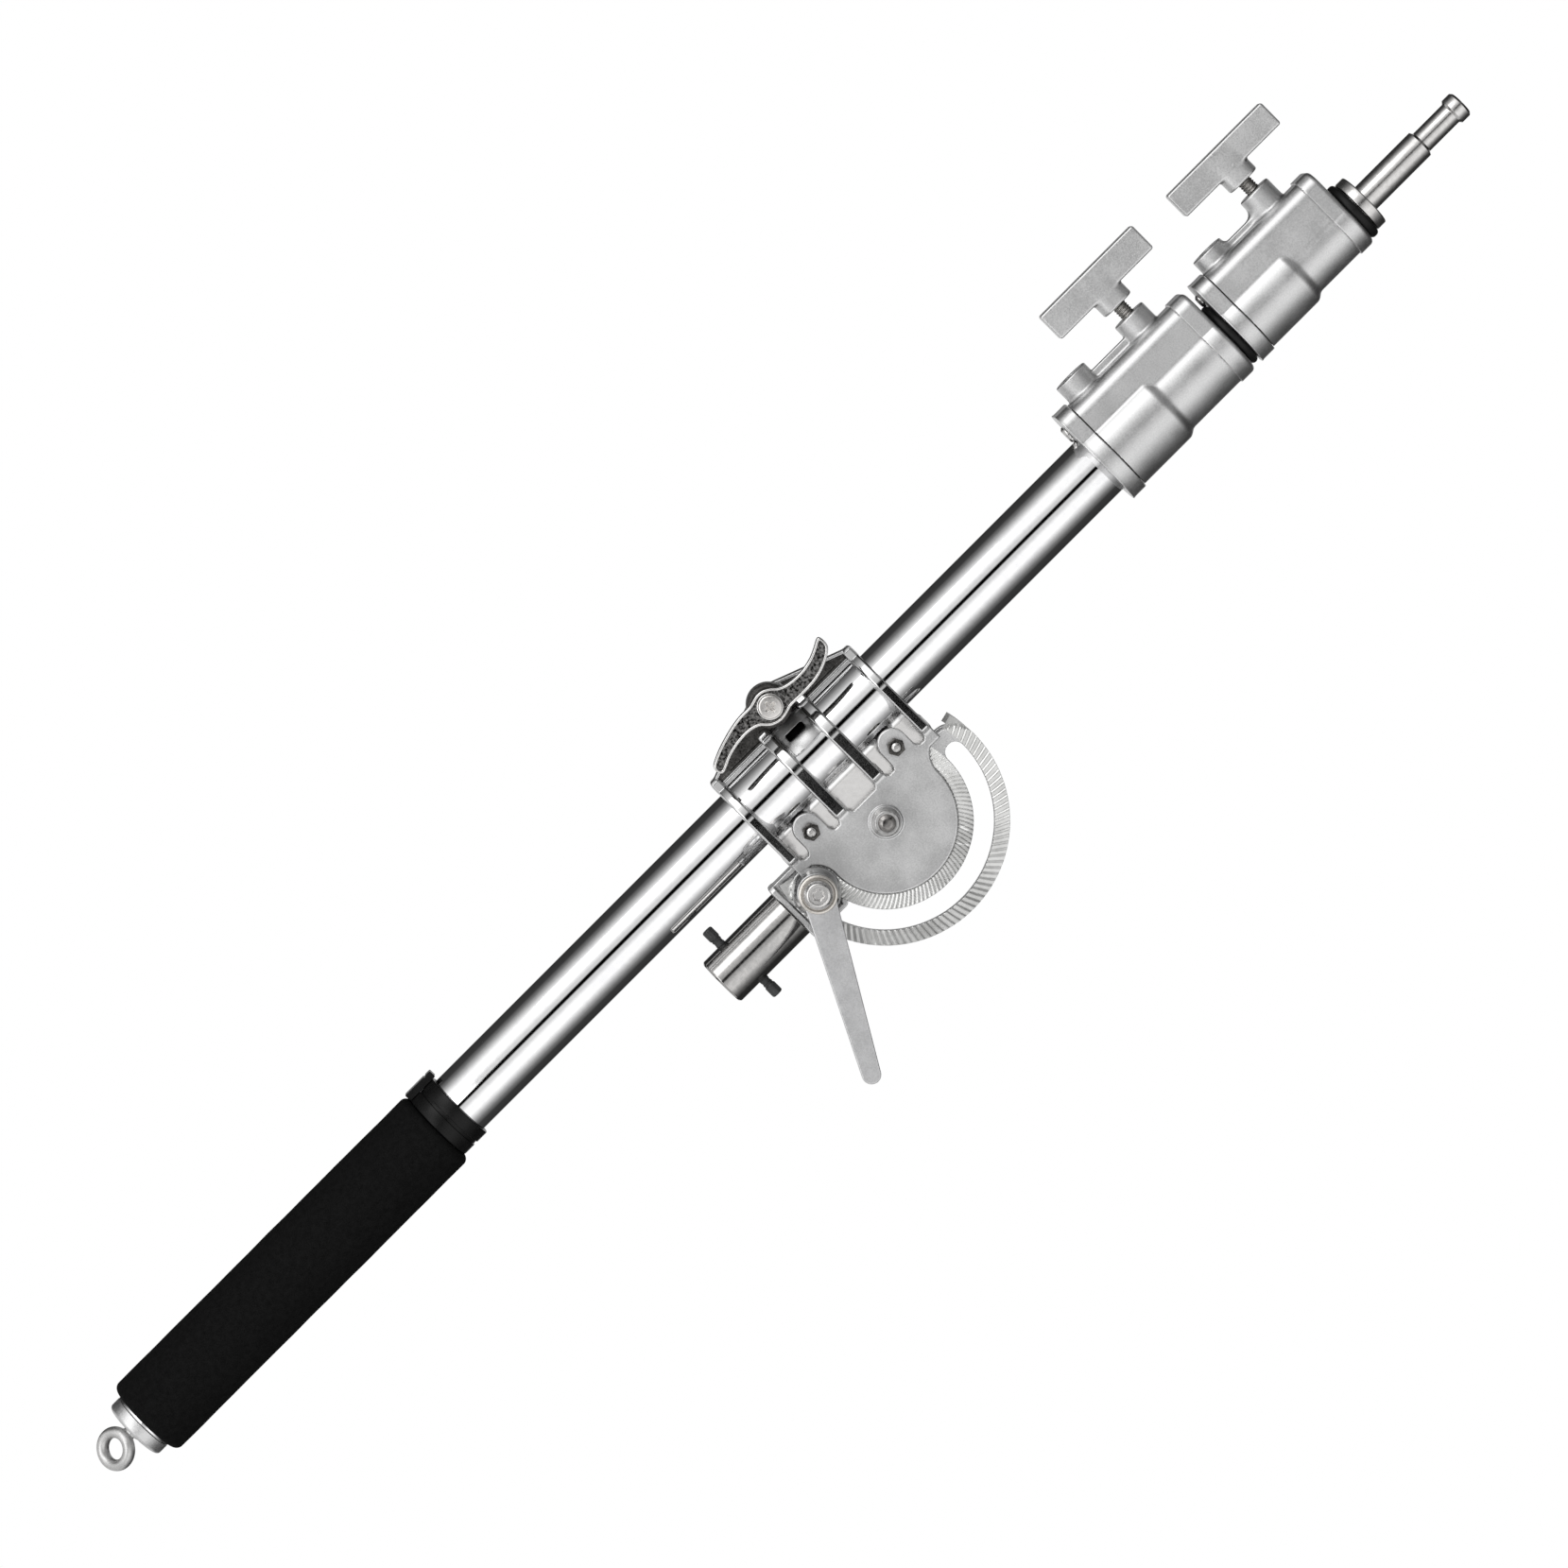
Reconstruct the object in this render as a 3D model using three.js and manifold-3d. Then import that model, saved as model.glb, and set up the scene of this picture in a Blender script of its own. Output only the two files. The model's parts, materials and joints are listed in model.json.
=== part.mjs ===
// Overhead boom arm: a telescopic steel boom in a tilting cast cradle on a 28 mm stud.
// Millimetres, +Z up. The origin is the centre of the stud's shoulder, the stud points down.
// The boom lies beside the stud on the -X side, as it does when the arm is folded.
import * as THREE from 'three';
import { mergeVertices } from 'three/addons/utils/BufferGeometryUtils.js';
import Module from 'manifold-3d';

const wasm = await Module();
wasm.setup();

// General fits
const seat = 0.3; // gap between pieces that rest on each other
const overrun = 1.0; // how far every cut runs past the material
const tubeSides = 32; // facets round a tube
const fineSides = 20; // facets round a large turned piece
const smallSides = 10; // facets round a small turned piece
const arcSteps = 2; // steps of a small arc in an outline
const trackSteps = 20; // steps of the sector's long arcs
const endSteps = 9; // steps of the round ends of the sector's slot and track
const hexSides = 6;

// Main places
const pivotHeight = 67.7; // pivot axis above the stud's shoulder
const boomOffset = 51.0; // boom axis from the pivot axis
const tailLength = 488.7; // pivot down to the open end of the main tube

// Tubes
const mainRadius = 17.5;
const mainWall = 1.5;
const mainLength = 743.3;
const middleRadius = 15.0;
const middleWall = 1.3;
const middleStop = 94.8; // middle tube's lower end above that of the main tube
const innerRadius = 12.5;
const innerWall = 1.3;
const innerStop = 88.2; // inner tube's lower end above that of the middle tube
const bushFlange = 6.0;
const bushPlug = 15.0;
const bushWall = 2.2;

// Stud, socket and thumb screws
const studRadius = 14.0;
const studLength = 51.0;
const studChamfer = 1.6;
const socketRadius = 8.1;
const socketDepth = 40.0;
const studShank = 7.0; // radius of the shank riveted into the yoke's foot
const studShankLength = 2.4;
const boomThumbDrop = 37.2; // thumb screw on the boom's side, below the shoulder
const farThumbDrop = 34.3; // thumb screw on the other side
const thumbShank = 2.5;
const thumbNeck = 4.4;
const thumbHead = 3.1;
const thumbHeadLength = 6.4;

// Yoke bracket
const yokeHalfWidth = 17.1;
const yokeFoot = 3.0; // thickness of the foot plate
const yokeFootHalfDepth = 10.0;
const yokeFootCorner = 3.0;
const yokeShoulder = 24.7; // height of the wide lower block
const tongueHalf = 8.0; // half thickness between the castings
const tongueTip = 15.0; // radius of the rounded top
const tonguePocket = 1.6; // depth of the cast pockets
const tongueRim = 2.5; // rim round the pockets
const tongueBoss = 12.0; // boss round each bolt

// Sector of the castings
const slotRadius = 50.5; // slot centre line round the pivot
const slotHalf = 5.35;
const trackHalf = 13.4; // half width of the toothed track
const plateThickness = 5.7;
const toothHeight = 0.8;
const toothInset = 0.5; // teeth stay this far inside the track's edges
const toothValley = 0.15; // height left between two teeth
const toothPitch = 4.5; // degrees from one tooth to the next
const trackOverhang = 13.5; // degrees that the teeth run on past the slot's ends
const raisedHeight = 2.0; // smooth disc above the toothed track
const pivotRing = 8.6; // raised ring round the pivot nut
const pivotRingHeight = 1.0;

// Clamp of the castings
const cradleHalf = 50.55; // half length along the boom
const linerWall = 2.6;
const linerInset = 0.4; // liner ends inside the outer ribs
const legWall = 2.0; // thickness of the liner's flat legs
const splitHalf = 1.0; // half gap between the two castings
const ribHeight = 4.5; // rib above the liner
const ribRun = 28.0; // flat run of a rib beyond the boom axis
const outerRib = 5.5;
const innerRib = 7.0;
const innerRibShare = 0.259; // inner rib centre from the middle of the cradle, of its half length
const plateEdge = 35.8; // top edge of the sector plate from the boom axis
const tabHalf = 8.0;
const tabCentre = 25.0; // centre of the tab's round top from the boom axis
const tabShare = 0.607; // tab centre from the middle of the cradle, of its half length
const tabThickness = 4.4;
const pocketCorner = 4.5;
const pocketReach = 13.5; // foot of a pocket above the plate's edge
const tabCorner = 1.5; // corner where a tab meets the plate
const earThickness = 5.3;
const lugRadius = 9.0;
const lugHeight = 34.2; // wing bolt axis from the boom axis
const saddleWall = 2.1; // web round the tube between the inner ribs
const saddleEdge = 13.0; // its lower edge from the boom axis
const notchHalf = 5.7; // notch in the saddle's edge
const notchDepth = 3.9;
const notchCorner = 1.0;

// Shell bolts on the tabs
const shellBoltPlace = 27.3; // from the boom axis
const shellBolt = 2.5;
const shellHex = 4.6; // corner radius of head and nut
const shellHexHeight = 4.0;
const shellTip = 1.4;

// Pivot bolt
const pivotBolt = 4.0;
const pivotHex = 7.4;
const pivotHexHeight = 6.4;
const pivotWasher = 7.8;
const pivotWasherHeight = 1.4;
const pivotTip = 2.0;

// Tilt bolt, pressure washers and lever
const tiltBolt = 5.0;
const tiltHex = 9.2;
const tiltHexHeight = 6.4;
const pressRadius = 12.9;
const pressTop = 10.2;
const pressWaist = 12.4; // radius of the dome between rim and top
const pressWaistShare = 0.55; // where that radius lies above the rim
const pressRim = 3.0;
const pressHeight = 12.4;
const backPressHeight = 5.0;
const leverThickness = 6.6;
const leverLength = 101.5; // bolt axis to the rounded tip
const leverRoot = 8.5; // half width at the bolt
const leverTip = 5.0; // half width at the end
const leverHub = 10.0;
const leverDrop = 28.5; // degrees below the +X direction
const leverScrew = 7.3;
const leverScrewHeight = 4.6;
const leverScrewDome = 1.6;
const leverRing = 9.2;
const leverRingHeight = 1.2;
const leverGrip = 4.4; // depth of the bolt inside the lever's hub

// Wing handle
const wingBolt = 4.0;
const wingHub = 9.2;
const wingHeight = 7.0;
const wingArm = 5.6; // thickness of the arms
const wingRim = 1.9; // width of the raised rim
const wingPocket = 1.4; // depth of the pockets
const wingReach = 43.0; // hub axis to the end of an arm
const wingHalf = 5.2; // half width of an arm near the hub
const wingEndHalf = 3.8; // half width of an arm at its end
const wingSweep = 7.4; // how far an arm curves away
const wingRiseShare = 1.3; // of the curve near the hub
const wingFallShare = 1.9; // of the curve at the end
const wingSteps = 7;
const wingScrew = 6.2;
const wingScrewHeight = 1.8;
const wingThread = 4.6; // depth of the bolt inside the wing's hub
const spacerHeight = 19.4;
const spacerRadius = 11.5;
const wingHex = 7.4;
const wingHexHeight = 5.4;

// End cap, eye bolt and grip
const capHeight = 7.0;
const capPlug = 10.0;
const eyeRing = 8.25; // centre line of the ring
const eyeWire = 2.5;
const eyeShank = 2.7;
const eyeCollar = 4.6;
const eyeCollarHeight = 1.6;
const eyeTurn = 28.0; // degrees that the ring is turned about the boom
const eyeTail = 6.5; // shank past the plug
const eyeHex = 5.6;
const eyeHexHeight = 4.4;
const gripStart = 1.5; // bare tube below the grip
const gripLength = 212.6;
const gripWall = 5.3;
const gripCorner = 4.0;

// Cable clip above the grip
const clipLength = 16.2;
const clipWall = 2.1;
const clipGroove = 1.0;
const clipGrooveDepth = 0.7;
const latchLength = 18.0;
const latchHalf = 5.0;
const latchHeight = 3.4;
const latchBevel = 0.8;

// Collars, one set of sizes for each
const collars = {
  first: {
    hump: 23.4, humpLength: 46.5, neck: 20.9, shoulder: 4.0, cover: 24.6, coverTop: 34.0,
    rim: 21.8, rimTop: 33.3, top: 32.4, half: 18.4, boss: 9.75, bossTop: 44.1,
    setBoss: 10.0, setBossTop: 43.2, setPlace: 21.1, screwPlace: 64.3, webTop: 37.2,
    coverLength: 9.2, rimPlace: 81.6, length: 91.5, barHalf: 33.4, barFloor: 59.5, barTop: 75.7,
    hubFloor: 51.2,
  },
  second: {
    hump: 20.4, humpLength: 45.5, neck: 17.7, shoulder: 3.6, cover: 21.4, coverTop: 31.9,
    rim: 18.7, rimTop: 32.0, top: 30.9, half: 17.2, boss: 9.5, bossTop: 43.7,
    setBoss: 9.5, setBossTop: 39.1, setPlace: 19.3, screwPlace: 58.1, webTop: 34.8,
    coverLength: 9.2, rimPlace: 74.7, length: 84.0, barHalf: 34.1, barFloor: 58.4, barTop: 73.4,
    hubFloor: 50.6,
  },
};
const blockCorner = 8.5;
const rimRound = 1.6;
const roundShare = 0.3; // how far the middle of a round corner lies inside its corner
const shoulderShare = 0.4; // drop of the shoulder's middle below its top
const webHalf = 3.6;
const tubeEntry = 47.3; // how far a tube's end goes into its collar
const setScrew = 4.0;
const setScrewLength = 9.0;
const coverScrew = 3.8;
const coverScrewHeight = 2.2;
const coverScrewTop = 2.7; // radius of the screw's flat top
const coverScrewEdge = 0.9; // height of the screw's edge
const coverScrewStep = 1.0; // from what lies inside the screw to its head
const coverShank = 1.8;
const shoeRadius = 5.0;
const shoeHeight = 3.6;
const clampScrew = 4.0;
const handleHub = 9.5;
const handleHubFoot = 6.4;
const handleHubCone = 3.0;
const handleHubEdge = 1.0;
const handleHubTop = 7.6;
const handleHalfDepth = 5.6;
const handleBevel = 1.3;
const handleGrip = 6.0; // screw inside the handle

// Rubber rings
const ringRound = 1.4;
const firstRing = 19.5;
const firstRingHeight = 4.4;
const secondRing = 17.3;
const secondRingHeight = 6.2;

// Spigot
const spigotBase = 15.8;
const spigotBaseHeight = 5.4;
const spigotSink = 1.0; // depth of the recess that the spigot stands in
const spigotPlug = 18.0;
const spigotRadius = 8.0;
const spigotLength = 41.3;
const spigotNeck = 6.25;
const spigotNeckLength = 21.6;
const spigotHead = 7.7;
const spigotHeadLength = 7.0;
const spigotChamfer = 1.2;
const spigotThread = 4.8;
const spigotThreadLength = 14.0;

// Finishes
function finish(color, roughness, metalness) {
  return new THREE.MeshStandardMaterial({ color, roughness, metalness });
}
const chrome = finish(0xd8dadc, 0.12, 1.0);
const castAluminium = finish(0xb4b5b6, 0.45, 1.0);
const sprayedCasting = finish(0x8f9092, 0.5, 1.0);
const darkCasting = finish(0x4a4a4b, 0.6, 0.8);
const steel = finish(0xb0aca6, 0.3, 1.0);
const brass = finish(0xb08d5a, 0.35, 1.0);
const foam = finish(0x151515, 0.95, 0.0);
const plastic = finish(0x1b1b1c, 0.6, 0.0);
const rubber = finish(0x101010, 0.85, 0.0);

// A closed solid from a three.js geometry, with faces turned outward
function solid(geometry) {
  const bare = geometry.clone();
  bare.deleteAttribute('normal');
  bare.deleteAttribute('uv');
  const merged = mergeVertices(bare);
  const place = merged.attributes.position;
  const whole = [];
  const a = new THREE.Vector3();
  const b = new THREE.Vector3();
  const c = new THREE.Vector3();
  let volume = 0;
  for (let i = 0; i < merged.index.count; i += 3) {
    const corners = [merged.index.getX(i), merged.index.getX(i + 1), merged.index.getX(i + 2)];
    if (new Set(corners).size < 3) continue;
    a.fromBufferAttribute(place, corners[0]);
    b.fromBufferAttribute(place, corners[1]);
    c.fromBufferAttribute(place, corners[2]);
    volume += a.dot(b.cross(c));
    whole.push(corners);
  }
  if (volume < 0) whole.forEach((corners) => corners.reverse());
  return new wasm.Manifold(new wasm.Mesh({
    numProp: 3,
    vertProperties: new Float32Array(place.array),
    triVerts: new Uint32Array(whole.flat()),
  }));
}

function geometryOf(body) {
  const mesh = body.getMesh();
  const geometry = new THREE.BufferGeometry();
  geometry.setAttribute('position', new THREE.BufferAttribute(mesh.vertProperties, 3));
  geometry.setIndex(new THREE.BufferAttribute(mesh.triVerts, 1));
  geometry.computeVertexNormals();
  return geometry;
}

function joined(...bodies) {
  return bodies.reduce((sum, body) => sum.add(body));
}

function cut(body, ...tools) {
  return tools.reduce((rest, tool) => rest.subtract(tool), body);
}

// A profile of [radius, height] pairs turned about Z
function turned(profile, sides = fineSides) {
  const points = profile.map(([r, z]) => new THREE.Vector2(r, z));
  return new THREE.LatheGeometry(points, sides).rotateX(Math.PI / 2);
}

function rod(radius, low, high, sides = fineSides) {
  return turned([[0, low], [radius, low], [radius, high], [0, high]], sides);
}

function pipe(bore, radius, low, high, sides = fineSides) {
  return turned([[bore, low], [radius, low], [radius, high], [bore, high], [bore, low]], sides);
}

// The same pieces with their axis along Y or along X
function alongY(geometry) {
  return geometry.rotateX(-Math.PI / 2);
}

function alongX(geometry) {
  return geometry.rotateY(Math.PI / 2);
}

function hexagon(radius, low, high) {
  return rod(radius, low, high, hexSides);
}

// A shape drawn in X and Y, extruded from low to high in Z
function prism(shape, low, high, steps = arcSteps) {
  const settings = { depth: high - low, bevelEnabled: false, curveSegments: steps };
  return new THREE.ExtrudeGeometry(shape, settings).translate(0, 0, low);
}

// A shape drawn in X and Z, extruded from near to far in Y
function slab(shape, near, far, steps = arcSteps) {
  const settings = { depth: far - near, bevelEnabled: false, curveSegments: steps };
  return new THREE.ExtrudeGeometry(shape, settings).rotateX(Math.PI / 2).translate(0, far, 0);
}

function rectangle(x0, y0, x1, y1) {
  const shape = new THREE.Shape();
  shape.moveTo(x0, y0);
  shape.lineTo(x1, y0);
  shape.lineTo(x1, y1);
  shape.lineTo(x0, y1);
  shape.closePath();
  return shape;
}

function roundedRectangle(x0, y0, x1, y1, r) {
  const quarter = Math.PI / 2;
  const shape = new THREE.Shape();
  shape.moveTo(x0 + r, y0);
  shape.absarc(x1 - r, y0 + r, r, -quarter, 0, false);
  shape.absarc(x1 - r, y1 - r, r, 0, quarter, false);
  shape.absarc(x0 + r, y1 - r, r, quarter, 2 * quarter, false);
  shape.absarc(x0 + r, y0 + r, r, 2 * quarter, 3 * quarter, false);
  return shape;
}

// The same body on the other side of the middle plane, with its faces turned back outward
function mirrored(body) {
  const mesh = body.getMesh();
  const places = mesh.vertProperties.map((value, i) => (i % 3 === 1 ? -value : value));
  const faces = mesh.triVerts.map((corner, i, all) => all[3 * Math.floor(i / 3) + 2 - (i % 3)]);
  return new wasm.Manifold(new wasm.Mesh({ numProp: 3, vertProperties: places, triVerts: faces }));
}

const arm = new THREE.Group();

function addTo(group, name, geometry, material, place = [0, 0, 0]) {
  const mesh = new THREE.Mesh(geometryOf(solid(geometry)), material);
  mesh.name = name;
  mesh.position.set(...place);
  group.add(mesh);
  return mesh;
}

function addBody(group, name, body, material, place = [0, 0, 0]) {
  const mesh = new THREE.Mesh(geometryOf(body), material);
  mesh.name = name;
  mesh.position.set(...place);
  group.add(mesh);
  return mesh;
}

// Levels in Y, counted from the middle of the arm
const plateNear = tongueHalf + seat;
const plateFar = plateNear + plateThickness;
const toothFar = plateFar + toothHeight;
const raisedFar = plateFar + raisedHeight;
const linerBore = mainRadius + seat;
const linerRadius = linerBore + linerWall;
const ribBore = linerRadius + seat;
const ribRadius = ribBore + ribHeight;
const legNear = plateNear;
const legFar = legNear + legWall;
const tabNear = legFar + seat;
const tabFar = tabNear + tabThickness;
const earFar = splitHalf + earThickness;
const tiltHeight = pivotHeight - slotRadius;
const innerRibPlace = cradleHalf * innerRibShare;
const tabPlace = cradleHalf * tabShare;
const mainLow = pivotHeight - tailLength;
const mainHigh = mainLow + mainLength;
const mainBore = mainRadius - mainWall;
const collarStart = mainHigh - tubeEntry;

// Stand stud with its socket
function standStud() {
  const floor = -studLength;
  const roof = floor + socketDepth;
  const body = solid(turned([
    [0, -seat], [studRadius, -seat], [studRadius, floor + studChamfer],
    [studRadius - studChamfer, floor], [socketRadius, floor], [socketRadius, roof], [0, roof],
  ]));
  const shank = solid(rod(studShank, -seat - overrun, studShankLength));
  const boomSide = solid(alongX(rod(thumbShank + seat, -studRadius - overrun, 0, smallSides)));
  const farSide = solid(alongX(rod(thumbShank + seat, 0, studRadius + overrun, smallSides)));
  return cut(
    joined(body, shank), boomSide.translate([0, 0, -boomThumbDrop]),
    farSide.translate([0, 0, -farThumbDrop]));
}

// Foot plate, wide block and tongue that the castings pivot on
function yokeBracket() {
  const foot = solid(prism(
    roundedRectangle(-yokeHalfWidth, -yokeFootHalfDepth, yokeHalfWidth, yokeFootHalfDepth, yokeFootCorner),
    0, yokeFoot));
  const outline = new THREE.Shape();
  outline.moveTo(-yokeHalfWidth, 0);
  outline.lineTo(yokeHalfWidth, 0);
  outline.lineTo(yokeHalfWidth, yokeShoulder);
  outline.lineTo(tongueTip, yokeShoulder + yokeHalfWidth - tongueTip);
  outline.absarc(0, pivotHeight, tongueTip, 0, Math.PI, false);
  outline.lineTo(-tongueTip, yokeShoulder + yokeHalfWidth - tongueTip);
  outline.lineTo(-yokeHalfWidth, yokeShoulder);
  outline.closePath();
  const tongue = solid(slab(outline, -tongueHalf, tongueHalf, 2 * arcSteps));
  const recess = rectangle(
    -yokeHalfWidth + tongueRim, yokeFoot + tongueRim, yokeHalfWidth - tongueRim, yokeShoulder);
  const upperRecess = rectangle(
    -tongueTip + tongueRim, yokeShoulder - overrun, tongueTip - tongueRim, pivotHeight);
  let body = joined(foot, tongue);
  for (const side of [-1, 1]) {
    const near = side > 0 ? tongueHalf - tonguePocket : -tongueHalf - overrun;
    const far = side > 0 ? tongueHalf + overrun : -tongueHalf + tonguePocket;
    const bosses = [tiltHeight, pivotHeight].map((height) =>
      solid(alongY(rod(tongueBoss, near - overrun, far + overrun, smallSides))).translate([0, 0, height]));
    const pocket = joined(solid(slab(recess, near, far)), solid(slab(upperRecess, near, far)));
    body = body.subtract(cut(pocket, ...bosses));
  }
  const reach = tongueHalf + overrun;
  const pivotHole = solid(alongY(rod(pivotBolt + seat, -reach, reach, smallSides)));
  const tiltHole = solid(alongY(rod(tiltBolt + seat, -reach, reach, smallSides)));
  const shankHole = solid(rod(studShank + seat, -overrun, studShankLength + seat));
  return cut(
    body, pivotHole.translate([0, 0, pivotHeight]), tiltHole.translate([0, 0, tiltHeight]), shankHole);
}

// Points of an arc, with both ends
function arcPoints(x, y, radius, from, to, steps) {
  return Array.from({ length: steps + 1 }, (_, i) => {
    const angle = THREE.MathUtils.degToRad(from + ((to - from) * i) / steps);
    return new THREE.Vector2(x + radius * Math.cos(angle), y + radius * Math.sin(angle));
  });
}

// Half-circle track round the pivot with round ends, of a given half width
function track(half) {
  return new THREE.Shape([
    ...arcPoints(0, 0, slotRadius + half, -90, 90, trackSteps),
    ...arcPoints(0, slotRadius, half, 90, 270, endSteps).slice(1),
    ...arcPoints(0, 0, slotRadius - half, 90, -90, trackSteps).slice(1),
    ...arcPoints(0, -slotRadius, half, 90, 270, endSteps).slice(1, -1),
  ]);
}

// Strip of V-shaped radial ridges round the pivot, standing up from base to crest in Y.
// Every other station lies on the crest, so a tooth spans two steps of the strip.
function toothedStrip(bore, radius, base, crest) {
  const reach = 90 + trackOverhang;
  const stations = 2 * Math.round((2 * reach) / toothPitch) + 1;
  const places = [];
  const faces = [];
  for (let i = 0; i < stations; i += 1) {
    const angle = THREE.MathUtils.degToRad(-reach + (2 * reach * i) / (stations - 1));
    const level = i % 2 ? crest : base + toothValley;
    for (const [r, y] of [[bore, base - overrun], [radius, base - overrun], [radius, level], [bore, level]]) {
      places.push(r * Math.cos(angle), y, r * Math.sin(angle));
    }
    if (i === stations - 1) break;
    const here = 4 * i;
    for (let side = 0; side < 4; side += 1) {
      const other = (side + 1) % 4;
      faces.push(here + side, here + 4 + side, here + 4 + other, here + side, here + 4 + other, here + other);
    }
  }
  const last = 4 * (stations - 1);
  faces.push(0, 1, 2, 0, 2, 3, last, last + 2, last + 1, last, last + 3, last + 2);
  const geometry = new THREE.BufferGeometry();
  geometry.setAttribute('position', new THREE.Float32BufferAttribute(places, 3));
  geometry.setIndex(faces);
  return geometry;
}

// Cross-section of a rib: round the tube, then a flat run that drops to the sector plate
function ribOutline() {
  const shape = new THREE.Shape();
  shape.moveTo(-Math.sqrt(ribRadius ** 2 - splitHalf ** 2), splitHalf);
  shape.absarc(0, 0, ribRadius, Math.PI - Math.asin(splitHalf / ribRadius), Math.PI / 2, true);
  shape.lineTo(ribRun, ribRadius);
  shape.lineTo(plateEdge, raisedFar);
  shape.lineTo(plateEdge + overrun, raisedFar);
  shape.lineTo(plateEdge + overrun, plateNear);
  shape.lineTo(0, splitHalf);
  shape.closePath();
  return shape;
}

// Saddle round the tube between the inner ribs, with a notch in its lower edge
function saddle() {
  const far = 2 * ribRadius;
  const shell = solid(rod(ribBore + saddleWall, -innerRibPlace, innerRibPlace));
  const lower = solid(prism(rectangle(-saddleEdge, -far, far, far), -far, far));
  const otherHalf = solid(prism(rectangle(-far, -far, far, splitHalf), -far, far));
  const notch = roundedRectangle(
    -saddleEdge - notchDepth, -notchHalf, -saddleEdge + overrun, notchHalf, notchCorner);
  return cut(shell, lower, otherHalf, solid(slab(notch, splitHalf, far)));
}

// Space that the liner fills inside a casting: the tube's sleeve and the two flat legs
function linerSpace() {
  const reach = cradleHalf + overrun;
  const sleeve = solid(rod(ribBore, -reach, reach));
  const legs = solid(prism(rectangle(0, -tabNear, plateEdge, tabNear), -reach, reach));
  return joined(sleeve, legs);
}

// Pocket between two ribs, with round corners of its own at each side
function pocketOutline(low, high, lowCorner, highCorner) {
  const quarter = Math.PI / 2;
  const top = plateEdge - pocketReach;
  const shape = new THREE.Shape();
  shape.moveTo(top, high);
  shape.lineTo(top, low);
  shape.lineTo(plateEdge - lowCorner, low);
  shape.absarc(plateEdge - lowCorner, low + lowCorner, lowCorner, -quarter, 0, false);
  shape.absarc(plateEdge - highCorner, high - highCorner, highCorner, 0, quarter, false);
  shape.closePath();
  return shape;
}

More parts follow.
